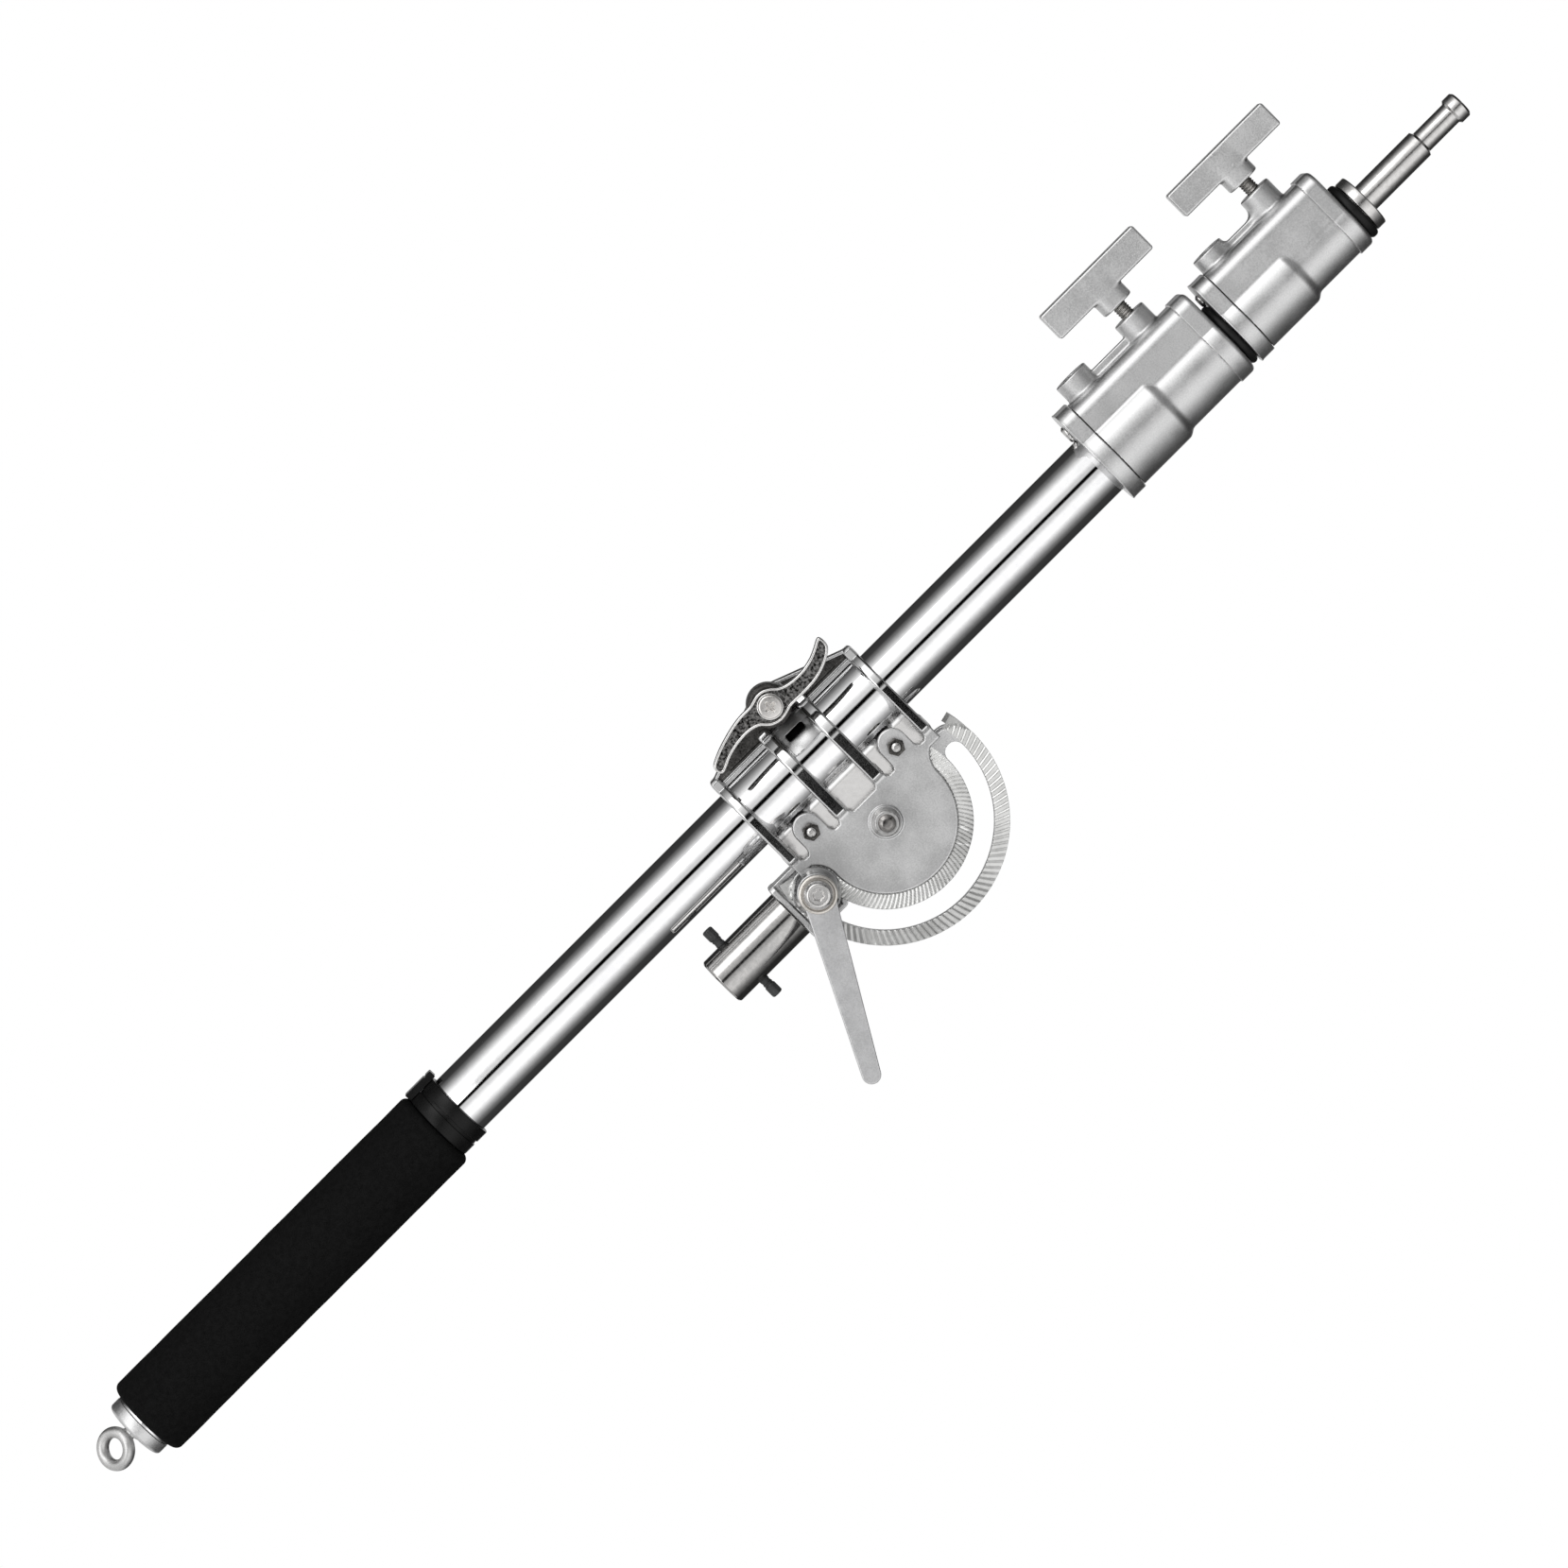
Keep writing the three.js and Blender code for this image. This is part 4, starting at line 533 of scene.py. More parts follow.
# A line through corners (r, z), each corner rounded by its own radius with an arc of a few steps
def softened(corners, steps=5, loop=False):
    result = []
    count = len(corners)
    for index, (r, z, bend) in enumerate(corners):
        here = np.array([r, z], float)
        if not bend or (not loop and index in (0, count - 1)):
            result.append(here[None])
            continue
        before = np.array(corners[index - 1][:2], float) - here
        after = np.array(corners[(index + 1) % count][:2], float) - here
        before, after = before / np.hypot(*before), after / np.hypot(*after)
        half = 0.5 * np.arccos(np.clip(before @ after, -1, 1))
        back = bend / np.tan(half)
        middle = here + (before + after) / np.hypot(*(before + after)) * bend / np.sin(half)
        start, end = here + before * back - middle, here + after * back - middle
        turn = np.arctan2(start[0] * end[1] - start[1] * end[0], start @ end)
        share = np.linspace(0, 1, steps + 1) * turn
        result.append(middle + np.stack([
            start[0] * np.cos(share) - start[1] * np.sin(share),
            start[0] * np.sin(share) + start[1] * np.cos(share)], 1))
    return np.concatenate(result)


# Turned solid from corners (radius, level, rounding)
def lathe(corners, axis="Z", at=(0, 0, 0), loop=False, sides=96, steps=5):
    line = softened(corners, steps, loop)
    return turned(line[:, 0], line[:, 1], axis, at, loop, sides)


# Hexagon prism with both ends turned to a cone: the radius is the smaller of the hexagon's reach at that
# angle, apothem / cos(angle from the flat), and the cone's radius at that level
def hexPrism(corner, low, high, axis, at, bore=0.0, lowCone=True, highCone=True, sides=96):
    apothem = corner * math.cos(math.pi / 6)
    angle = np.linspace(0, 2 * np.pi, sides, endpoint=False)
    reach = apothem / np.cos((angle + np.pi / 6) % (np.pi / 3) - np.pi / 6)
    level = np.concatenate([[low], low + np.linspace(0, 1, 7) * 0.14 * corner,
                            high - np.linspace(1, 0, 7) * 0.14 * corner, [high]])
    cone = np.full(level.shape, 10.0 * corner)
    if lowCone:
        cone = np.minimum(cone, 0.93 * corner * math.cos(math.pi / 6) + (level - low) * 1.9)
    if highCone:
        cone = np.minimum(cone, 0.93 * corner * math.cos(math.pi / 6) + (high - level) * 1.9)
    radius = np.minimum(reach[None, :], cone[:, None])
    radius[0] = radius[-1] = bore
    return turned(radius, level, axis, at, bore > 0)


# Screw thread: the radius falls from crest to root and back once per pitch along a helix,
# radius = crest - depth * (1 - |2 f - 1|) with f the fraction of (level / pitch - angle / 2 pi)
def threaded(crest, depth, pitch, low, high, axis, at, sides=48):
    level = np.linspace(low, high, int((high - low) / pitch * 10) + 1)
    angle = np.linspace(0, 1, sides, endpoint=False)
    share = (level[:, None] / pitch - angle[None, :]) % 1.0
    radius = crest - depth * np.clip(1.25 * (1 - np.abs(2 * share - 1)), 0, 1)
    radius = np.concatenate([0 * radius[:1], radius, 0 * radius[:1]])
    level = np.concatenate([level[:1], level, level[-1:]])
    return turned(radius, level, axis, at)


# Flat outline carried along Z between two levels, with its end edges rounded inward along the normals
def extruded(outline, low, high, edge, at, steps=3):
    outline = np.asarray(outline, float)
    ahead, behind = np.roll(outline, -1, 0) - outline, outline - np.roll(outline, 1, 0)
    ahead /= np.hypot(*ahead.T)[:, None]
    behind /= np.hypot(*behind.T)[:, None]
    inward = np.stack([-(ahead + behind)[:, 1], (ahead + behind)[:, 0]], 1)
    inward /= np.maximum((inward * np.stack([-ahead[:, 1], ahead[:, 0]], 1)).sum(1), 0.3)[:, None]
    area = (outline[:, 0] * np.roll(outline[:, 1], -1) - outline[:, 1] * np.roll(outline[:, 0], -1)).sum()
    inward *= np.sign(area)
    quarter = np.linspace(0, np.pi / 2, steps + 1)
    inset = edge * (1 - np.sin(quarter))
    level = np.concatenate([low + edge * (1 - np.cos(quarter)), high - edge * (1 - np.cos(quarter))[::-1]])
    inset = np.concatenate([inset, inset[::-1]])
    flat = outline[None] + inward[None] * inset[:, None, None]
    level = np.broadcast_to(level[:, None], flat.shape[:2])
    points = np.stack([flat[..., 0], flat[..., 1], level], -1).reshape(-1, 3) + np.array(at, float)
    rows, columns = flat.shape[:2]
    cap = np.array([list(face) for face in tessellate_polygon([[(*place, 0) for place in flat[0]]])])
    return points, np.concatenate([gridFaces(rows, columns, False, True), cap,
                                   cap[:, ::-1] + (rows - 1) * columns])


# Fields: each gives the distance to a surface in mm, negative inside
# Joint of two shapes with a fillet of about the given width
def fused(a, b, width):
    share = np.clip(0.5 + 0.5 * (b - a) / width, 0, 1)
    return b + (a - b) * share - width * share * (1 - share)


# What two shapes have in common, the edge between them rounded
def common(a, b, edge):
    u, v = a + edge, b + edge
    return np.minimum(np.maximum(u, v), 0) + np.hypot(np.maximum(u, 0), np.maximum(v, 0)) - edge


# The first shape less the second
def without(a, b, edge=0.0):
    return common(a, -b, edge) if edge else np.maximum(a, -b)


# Slab between two values
def between(value, low, high):
    return np.maximum(low - value, value - high)


# Rectangle with round corners, drawn in two coordinates
def plateField(a, b, lowA, lowB, highA, highB, corner):
    u = np.abs(a - (lowA + highA) / 2) - (highA - lowA) / 2 + corner
    v = np.abs(b - (lowB + highB) / 2) - (highB - lowB) / 2 + corner
    return np.minimum(np.maximum(u, v), 0) + np.hypot(np.maximum(u, 0), np.maximum(v, 0)) - corner


# Two discs of different size and the straight tangents between them
def taperField(a, b, start, end, startRadius, endRadius):
    along = np.array(end, float) - np.array(start, float)
    length = np.hypot(*along)
    along /= length
    u, v = a - start[0], b - start[1]
    x, y = np.abs(v * along[0] - u * along[1]), u * along[0] + v * along[1]
    lean = (startRadius - endRadius) / length
    rise = math.sqrt(1 - lean * lean)
    place = y * rise - x * lean
    return np.where(place < 0, np.hypot(x, y) - startRadius, np.where(
        place > rise * length, np.hypot(x, y - length) - endRadius, x * rise + y * lean - startRadius))


# Closed outline of straight edges: the least distance to an edge, negative where a line to the right
# crosses an odd number of edges
def outlineField(a, b, outline):
    start, step = outline, np.roll(outline, -1, 0) - outline
    a, b = np.broadcast_arrays(a, b)
    u, v = a[..., None] - start[:, 0], b[..., None] - start[:, 1]
    share = np.clip((u * step[:, 0] + v * step[:, 1]) / (step ** 2).sum(1), 0, 1)
    away = np.hypot(u - share * step[:, 0], v - share * step[:, 1]).min(-1)
    end = start + step
    spans = (start[:, 1] > b[..., None]) != (end[:, 1] > b[..., None])
    slope = step[:, 0] / np.where(step[:, 1] == 0, 1e-9, step[:, 1])
    inside = (spans & (u < slope * v)).sum(-1) % 2 == 1
    return np.where(inside, -away, away)


# Surface of a field: in every cell of a grid that the surface crosses stands one point, at the mean of
# the places where the cell's edges cross it, and each crossed edge joins its four cells. Every point is
# then moved onto the surface along the field's slope, which is also its normal.
def netOf(field, low, high, step):
    axes = [np.arange(start - 1.51 * step, end + 2.5 * step, step) for start, end in zip(low, high)]
    value = field(axes[0][:, None, None], axes[1][None, :, None], axes[2][None, None, :])
    value = np.broadcast_to(value, [len(axis) for axis in axes]).astype(np.float32)
    cells = [len(axis) - 1 for axis in axes]
    total = np.zeros(cells + [3], np.float32)
    count = np.zeros(cells, np.int8)
    crossed = []
    for k in range(3):
        near = np.take(value, np.arange(cells[k]), k)
        far = np.take(value, np.arange(1, cells[k] + 1), k)
        cross = (near < 0) != (far < 0)
        where = np.argwhere(cross)
        inner = np.ones(len(where), bool)
        for other in range(3):
            if other != k:
                inner &= (where[:, other] > 0) & (where[:, other] < cells[other])
        where = where[inner]
        picked = tuple(where.T)
        share = near[picked] / (near[picked] - far[picked])
        place = where.astype(np.float32)
        place[:, k] += share
        crossed.append((k, where, near[picked] < 0))
        p, q = [other for other in range(3) if other != k]
        for stepP in (0, 1):
            for stepQ in (0, 1):
                cell = where.copy()
                cell[:, p] -= stepP
                cell[:, q] -= stepQ
                np.add.at(total, tuple(cell.T), place)
                np.add.at(count, tuple(cell.T), 1)
    number = (np.cumsum(count.ravel() > 0) - 1).reshape(cells)
    used = count > 0
    points = total[used] / count[used][:, None] * step + np.array([axis[0] for axis in axes])
    squares = []
    for k, where, inside in crossed:
        p, q = (k + 1) % 3, (k + 2) % 3
        corners = []
        for stepP, stepQ in ((0, 0), (1, 0), (1, 1), (0, 1)):
            cell = where.copy()
            cell[:, p] -= stepP
            cell[:, q] -= stepQ
            corners.append(number[tuple(cell.T)])
        square = np.stack(corners, 1)
        squares.append(np.where(inside[:, None], square, square[:, ::-1]))
    square = np.concatenate(squares)
    slope = np.zeros_like(points)
    for _ in range(2):
        here = field(*points.T)
        for k in range(3):
            shift = np.zeros(3)
            shift[k] = 0.05
            slope[:, k] = (field(*(points + shift).T) - field(*(points - shift).T)) / 0.1
        size = np.maximum((slope ** 2).sum(1), 0.25)
        move = -np.clip(here, -0.4 * step, 0.4 * step)[:, None] * slope / size[:, None]
        points = points + move
    normals = slope / np.maximum(np.sqrt((slope ** 2).sum(1)), 1e-6)[:, None]
    triangles = np.concatenate([square[:, [0, 1, 2]], square[:, [0, 2, 3]]])
    return points, triangles, normals


shown = {}


# Blender object from points in mm, riding on a body and standing for CAD nodes
def addPiece(name, shape, look, body, nodesHeld, sharp=38.0):
    points, triangles = shape[:2]
    mesh = bpy.data.meshes.new(name)
    mesh.from_pydata((points * 0.001).tolist(), [], triangles.tolist())
    mesh.polygons.foreach_set("use_smooth", np.ones(len(triangles), bool))
    if len(shape) > 2:
        mesh.normals_split_custom_set_from_vertices(shape[2].tolist())
    else:
        mesh.set_sharp_from_angle(angle=math.radians(sharp))
    mesh.materials.append(made[look])
    thing = bpy.data.objects.new(name, mesh)
    scene.collection.objects.link(thing)
    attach(thing, body)
    if nodesHeld:
        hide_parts(*nodesHeld)
    shown[name] = len(triangles)
    return thing


# The same shape on the other side of the middle plane: Y changes sign and so does the faces' order
def mirrored(shape):
    flip = np.array([1, -1, 1])
    return (shape[0] * flip, shape[1][:, ::-1], *[normals * flip for normals in shape[2:]])


# Axes that the pieces share, in mm: pivot, tilt bolt and wing bolt run along Y, and the boom along Z
pivotZ = 67.7
boltZ = 17.2
axisX = -51.0
wingX = -85.2
pivotAt = (0, 0, pivotZ)
boltAt = (0, 0, boltZ)
boomAt = (axisX, 0, 0)
wingAt = (wingX, 0, pivotZ)


# Turned piece from corners (radius, level, rounding)
def addTurned(name, corners, look, body, node, axis="Z", at=boomAt, loop=False, sides=96, steps=5,
              sharp=38.0):
    return addPiece(name, gathered(lathe(corners, axis, at, loop, sides, steps)), look, body, [node], sharp)


# Bolt along Y: a turned shank and the hexagon of its head, coned at its outer end
def boltShape(corners, hexCorner, low, high, at, sides=96, hexSides=96):
    head = hexPrism(hexCorner, low, high, "Y", at, 0.0, False, True, hexSides)
    return gathered(lathe(corners, "Y", at, False, sides), head)


# Stand head
stud = {"radius": 14.0, "top": -0.3, "length": 51.0, "socket": 8.1, "socketDepth": 40.0, "edge": 1.0,
        "shank": 7.0, "shankTop": -0.32, "shankEnd": 2.4}


# Stud with its socket, and the shank that is riveted into the yoke's foot
def standStud(v):
    low = -v["length"]
    roof = low + v["socketDepth"]
    return gathered(
        lathe([(0, v["top"], 0), (v["radius"], v["top"], 0.3), (v["radius"], low + v["edge"], 1.2),
               (v["radius"] - v["edge"], low, 0.3), (v["socket"], low, 0.5), (v["socket"], roof, 0.3),
               (0, roof, 0)]),
        lathe([(0, v["shankTop"], 0), (v["shank"], v["shankTop"], 0), (v["shank"], v["shankEnd"], 0.3),
               (0, v["shankEnd"], 0)]))


addPiece("studPiece", standStud(stud), "darkChrome", "stand_head", ["stand_stud"])

thumb = {"start": 8.4, "shank": 2.5, "collar": 2.7, "collarLow": 13.9, "collarHigh": 15.1, "bead": 2.75,
         "beadLow": 16.6, "beadHigh": 17.8, "neckEnd": 18.4, "head": 3.1, "end": 24.8, "ridges": 0.16,
         "flutes": 10, "sides": 60, "places": {"a": (-37.2, -1), "b": (-34.3, 1)}}


# Thumb screw along X: two small steps in the neck and shallow flutes round the head, where the radius
# sinks by ridges * max(cos(flutes * angle), 0) squared
def thumbScrew(v, height, side):
    line = softened([
        (0, v["start"], 0), (v["shank"], v["start"], 0.3), (v["shank"], v["collarLow"], 0),
        (v["collar"], v["collarLow"], 0.1), (v["collar"], v["collarHigh"], 0.1),
        (v["shank"], v["collarHigh"], 0.1), (v["shank"], v["beadLow"], 0.1),
        (v["bead"], v["beadLow"] + 0.3, 0.1),
        (v["bead"], v["beadHigh"] - 0.2, 0.1), (v["shank"], v["beadHigh"], 0.1),
        (v["head"], v["neckEnd"] + 0.4, 0.5), (v["head"], v["end"], 1.1), (0, v["end"], 0)], 5)
    angle = np.linspace(0, 2 * np.pi, v["sides"], endpoint=False)
    radius = np.repeat(line[:, :1], v["sides"], 1)
    held = np.clip((line[:, 1:] - v["neckEnd"]) / 1.0, 0, 1) * (radius > 2.0)
    radius = radius - v["ridges"] * held * np.maximum(np.cos(v["flutes"] * angle), 0) ** 2
    return gathered(turned(radius, side * line[:, 1], "X", (0, 0, height)))


for name, (height, side) in thumb["places"].items():
    addPiece(f"thumbScrew{name.upper()}", thumbScrew(thumb, height, side), "greyPlastic",
             f"thumb_screw_{name}", [f"socket_screw_{name}"])

bracket = {"half": 17.1, "foot": 3.0, "footHalf": 10.0, "tongue": 8.0, "shoulder": 24.7, "tip": 15.0,
           "boss": 12.0, "rim": 2.6, "pocket": 1.6, "step": 0.6}


# Foot plate and tongue: flat outlines carried along Z or Y, their common edges rounded, with cast pockets
def bracketField(x, y, z):
    v = bracket
    foot = common(plateField(x, y, -v["half"], -v["footHalf"], v["half"], v["footHalf"], 3.0),
                  between(z, 0, v["foot"]), 0.5)
    block = plateField(x, z, -v["half"], 0, v["half"], v["shoulder"], 2.0)
    upper = np.minimum(plateField(x, z, -v["tip"], 5.0, v["tip"], pivotZ, 0.5),
                       np.hypot(x, z - pivotZ) - v["tip"])
    flat = fused(block, upper, 2.5)
    tongue = common(flat, np.abs(y) - v["tongue"], 0.5)
    boss = np.minimum(np.hypot(x, z - boltZ), np.hypot(x, z - pivotZ)) - v["boss"]
    pocket = np.maximum(np.maximum(flat + v["rim"], v["foot"] + v["rim"] - z), -boss)
    pocket = common(pocket, v["tongue"] - v["pocket"] - np.abs(y), 0.8)
    body = without(fused(foot, tongue, 1.5), pocket, 0.5)
    holes = np.minimum(np.hypot(x, z - pivotZ) - 4.3, np.hypot(x, z - boltZ) - 5.3)
    shank = np.maximum(np.hypot(x, y) - 7.3, z - 2.7)
    return np.maximum(body, -np.minimum(holes, shank))


yokeReach = ((-bracket["half"], -bracket["footHalf"], 0), (bracket["half"], bracket["footHalf"], 82.7))
addPiece("yokePiece", netOf(bracketField, *yokeReach, bracket["step"]), "satinCasting", "stand_head",
         ["yoke_bracket"])

# washers, nut and bolt of the pivot; the bolt's end is a low dome in a bright rolled ring
pivot = {"bore": 4.3, "washer": 7.8, "washerLow": 17.3, "washerHigh": 18.7, "nutLow": 19.0, "nutHigh": 25.4,
         "bolt": 4.0, "ring": 4.6, "hex": 7.4}
for name, side in (("Front", -1), ("Back", 1)):
    near, far = side * pivot["washerLow"], side * pivot["washerHigh"]
    addTurned("pivotWasher" + name, [
        (pivot["bore"], near, 0.1), (pivot["washer"], near, 0.2), (pivot["washer"], far, 0.5),
        (pivot["bore"], far, 0.1)], "plateSteel", "stand_head", "pivot_washer_" + name.lower(), "Y", pivotAt,
        True, 96, 3)
addTurned("pivotNutPiece", [
    (pivot["bore"], -pivot["nutLow"], 0.1), (7.6, -pivot["nutLow"], 0.3), (7.6, -20.6, 0.6),
    (7.0, -21.6, 0.8),
    (6.9, -24.6, 0.9), (5.9, -pivot["nutHigh"], 0.4), (pivot["bore"], -pivot["nutHigh"], 0.3)],
    "plateSteel", "stand_head", "pivot_nut", "Y", pivotAt, True, 96, 4)
addPiece("pivotBoltPiece", boltShape([
    (0, -27.3, 0), (2.6, -27.1, 3.0), (pivot["ring"], -25.9, 0.6), (pivot["ring"], -25.5, 0.1),
    (pivot["bolt"], -25.5, 0), (pivot["bolt"], 20.2, 0), (0, 20.2, 0)],
    pivot["hex"], pivot["nutLow"], pivot["nutHigh"], pivotAt), "darkSteel", "stand_head", ["pivot_bolt"])

tiltClamp = {"bore": 5.3, "base": 12.9, "near": 15.1, "rim": 2.2, "domeShare": 0.62, "frontHeight": 12.4,
             "frontTop": 10.4, "backHeight": 5.0, "backTop": 10.2, "bolt": 5.0, "hex": 9.2, "hexLow": 20.4,
             "hexHigh": 26.8}


# Domed washer round the tilt bolt: upright rim, then a line that leans in and rounds over at the top
def addPressureWasher(v, name, side, look):
    near, height, top = v["near"], v[name + "Height"], v[name + "Top"]
    line = [(v["bore"], near, 0.2), (v["base"], near, 0.2), (v["base"], near + v["rim"], 2.2),
            (v["base"] - 1.0, near + height * v["domeShare"], 4.0), (top, near + height, 0.9),
            (v["bore"], near + height, 0.2)]
    addTurned("pressure" + name.capitalize(), [(r, side * y, bend) for r, y, bend in line], look,
              "stand_head", "pressure_washer_" + name, "Y", boltAt, True, 128, 8)


addPressureWasher(tiltClamp, "front", -1, "domeCasting")
addPressureWasher(tiltClamp, "back", 1, "satinCasting")
addPiece("tiltBoltPiece", boltShape([
    (0, -32.2, 0), (tiltClamp["bolt"], -32.2, 0.3), (tiltClamp["bolt"], 21.0, 0), (0, 21.0, 0)],
    tiltClamp["hex"], tiltClamp["hexLow"], tiltClamp["hexHigh"], boltAt), "plainSteel", "stand_head",
    ["tilt_bolt"])

leverSet = {"drop": 28.5, "length": 101.5, "root": 8.5, "tip": 5.0, "hub": 10.0, "near": 27.8, "thick": 6.6,
            "bore": 5.3, "boreDepth": 4.7, "ring": 10.2, "step": 0.5}


# Flat lever: two discs of different size and their tangents, carried along Y with rounded edges
def leverField(x, y, z):
    v = leverSet
    lean = math.radians(v["drop"])
    along = x * math.cos(lean) - (z - boltZ) * math.sin(lean)
    across = x * math.sin(lean) + (z - boltZ) * math.cos(lean)
    flat = taperField(along, across, (0, 0), (v["length"] - v["tip"], 0), v["root"], v["tip"])
    flat = fused(flat, np.hypot(along, across) - v["hub"], 1.5)
    body = common(flat, between(-y, v["near"], v["near"] + v["thick"]), 0.7)
    bore = np.maximum(np.hypot(along, across) - v["bore"], -y - v["near"] - v["boreDepth"])
    return np.maximum(body, -bore)


addPiece("leverPiece", netOf(leverField, (-10, -34.4, -41), (100, -27.8, 27.2), leverSet["step"]),
         "sprayedCasting", "tilt_clamp_lever", ["tilt_lever"])
addTurned("leverRingPiece", [
    (0, -34.2, 0), (leverSet["ring"], -34.2, 0.25), (leverSet["ring"], -35.6, 0.8), (8.6, -36.1, 0.5),
    (8.3, -34.5, 0.1), (0, -34.5, 0)],
    "turnedBrass", "tilt_clamp_lever", "lever_ring", "Y", boltAt, False, 128)

capSet = {"radius": 7.5, "foot": -34.3, "top": -40.4, "flat": 4.1, "hexagon": 2.9, "soft": 0.6, "depth": 1.5,
          "sides": 96}


# Round cap screw with a ring step and a soft hexagon recess, where the top sinks by
# depth * smooth step of (hexagon reach - radius) / soft
def leverCap(v):
    edge = softened([(v["radius"], v["foot"], 0), (v["radius"], -38.4, 1.3), (6.1, -40.6, 1.2),
                     (5.2, -40.8, 0.3), (4.9, v["top"], 0.3), (4.2, v["top"], 0.2)], 5)
    ring = np.linspace(v["flat"], 0, 16)
    angle = np.linspace(0, 2 * np.pi, v["sides"], endpoint=False)
    reach = v["hexagon"] / np.cos((angle + np.pi / 6) % (np.pi / 3) - np.pi / 6)
    sink = np.clip((reach[None] - ring[:, None]) / v["soft"], 0, 1)
    sink = sink * sink * (3 - 2 * sink)
    rows = [np.zeros((1, v["sides"])), np.repeat(edge[:, :1], v["sides"], 1),
            np.repeat(ring[:, None], v["sides"], 1)]
    level = [np.full((1, v["sides"]), v["foot"]), np.repeat(edge[:, 1:], v["sides"], 1),
             v["top"] + v["depth"] * sink]
    return gathered(turned(np.concatenate(rows), np.concatenate(level), "Y", boltAt))


addPiece("leverScrewPiece", leverCap(capSet), "brightSteel", "tilt_clamp_lever", ["lever_screw"])
print("stand head and lever")

# Cradle
casting = {
    "split": 1.0, "near": 8.3, "track": 14.0, "disc": 16.0,     # levels away from the middle plane
    "slot": 50.5, "slotHalf": 5.35, "trackHalf": 13.4, "backSlot": 2.4,
    "half": 50.55, "edge": -15.2, "discRadius": 37.1, "webEnd": 6.0, "footEnd": 4.0, "footDepth": 9.0,
    "ring": 8.6, "ringLow": 9.0, "ringHigh": 17.0,
    "tab": 30.7, "tabRadius": 8.0, "tabPlace": -26.0, "tabEnd": -12.0,
    "rib": 25.2, "run": 31.0, "runEnd": 36.5, "outerHalf": 2.75, "innerRib": 13.1, "innerHalf": 3.5,
    "top": -76.7, "topEnd": -55.0, "outerTop": 15.1, "innerTop": 13.6, "slopeFoot": 12.2,
    "saddle": 22.8, "bulge": 1.2, "barrel": 0.022, "notchHalf": 5.7, "notchFoot": 7.0,
    "lug": 34.2, "lugRadius": 9.0, "earHigh": 6.3, "earRim": 1.7, "recessHigh": 5.0, "recessStart": 12.4,
    "rimHigh": 8.6, "bore": 20.7, "legEnd": 35.8, "legHigh": 10.6, "pivotBore": 4.3, "shellBore": 2.8,
    "shellPlace": -23.7, "step": 0.62}


# Half-ring round the pivot on the +X side with round ends
def trackField(x, z, half):
    away = np.where(x > 0, np.abs(np.hypot(x, z) - casting["slot"]), np.hypot(x, np.abs(z) - casting["slot"]))
    return away - half


# Plate of the sector: track, disc with a straight edge, foot plate with round windows, and two tabs, all
# carried along Y, with a low ring round the pivot
def sectorField(x, y, z):
    v = casting
    tab, radius, half, edge = v["tab"], v["tabRadius"], v["half"], v["edge"]
    track = common(trackField(x, z, v["trackHalf"]), between(y, v["near"], v["track"]), 0.5)
    disc = np.maximum(np.hypot(x, z) - v["discRadius"], edge - x)
    web = plateField(x, z, edge - 0.6, -half, v["webEnd"], half, 0.6)
    windows = [plateField(x, np.abs(z), -70.0, low, edge, high, bend) for low, high, bend in (
        (tab + radius, half - 2 * v["outerHalf"], 4.2), (v["innerRib"] + v["innerHalf"], tab - radius, 3.6),
        (-10.0, v["innerRib"] - v["innerHalf"], 4.2))]
    foot = np.maximum(plateField(x, z, edge - v["footDepth"], -half, edge + v["footEnd"], half, 1.0),
                      -np.minimum(np.minimum(windows[0], windows[1]), windows[2]))
    tabs = np.minimum(np.hypot(x - v["tabPlace"], np.abs(z) - tab),
                      np.where(x > v["tabPlace"], np.abs(np.abs(z) - tab), 99.0)) - radius
    tabs = np.maximum(tabs, x - v["tabEnd"])
    flat = np.maximum(np.minimum(disc, web), -trackField(x, z, v["trackHalf"]))
    flat = np.minimum(flat, np.minimum(foot, tabs))
    body = np.minimum(track, common(flat, between(y, v["near"], v["disc"]), 0.9))
    ring = common(np.hypot(x, z) - v["ring"], between(y, v["ringLow"], v["ringHigh"]), 0.6)
    return fused(body, ring, 0.8)


# Four ribs: half a disc round the tube, a flat run, then a round drop to the plate's edge; their square
# tops are flat on the outer ribs and sloped on the inner ones
def ribField(tube, x, y, z):
    v = casting
    drop = ((tube - v["run"]) * 9.2 + (y - v["rib"]) * 1.2) / 9.28
    run = np.maximum(common(y - v["rib"], drop, 0.9), tube - v["runEnd"])
    section = np.where(tube < 0, np.hypot(tube, y) - v["rib"], run)
    flatTop = plateField(x, y, v["top"], -10.0, v["topEnd"], v["outerTop"], 0.6)
    slope = ((y - v["slopeFoot"]) - (x - v["top"]) * 0.5) / 1.118
    slopedTop = common(plateField(x, y, v["top"], -10.0, v["topEnd"], v["innerTop"], 0.5), slope, 0.3)
    outerPlace = v["half"] - v["outerHalf"]
    outer = common(np.minimum(section, flatTop), np.abs(np.abs(z) - outerPlace) - v["outerHalf"], 1.6)
    inner = common(np.minimum(section, slopedTop), np.abs(np.abs(z) - v["innerRib"]) - v["innerHalf"], 1.7)
    return np.maximum(np.minimum(outer, inner), v["split"] - y)


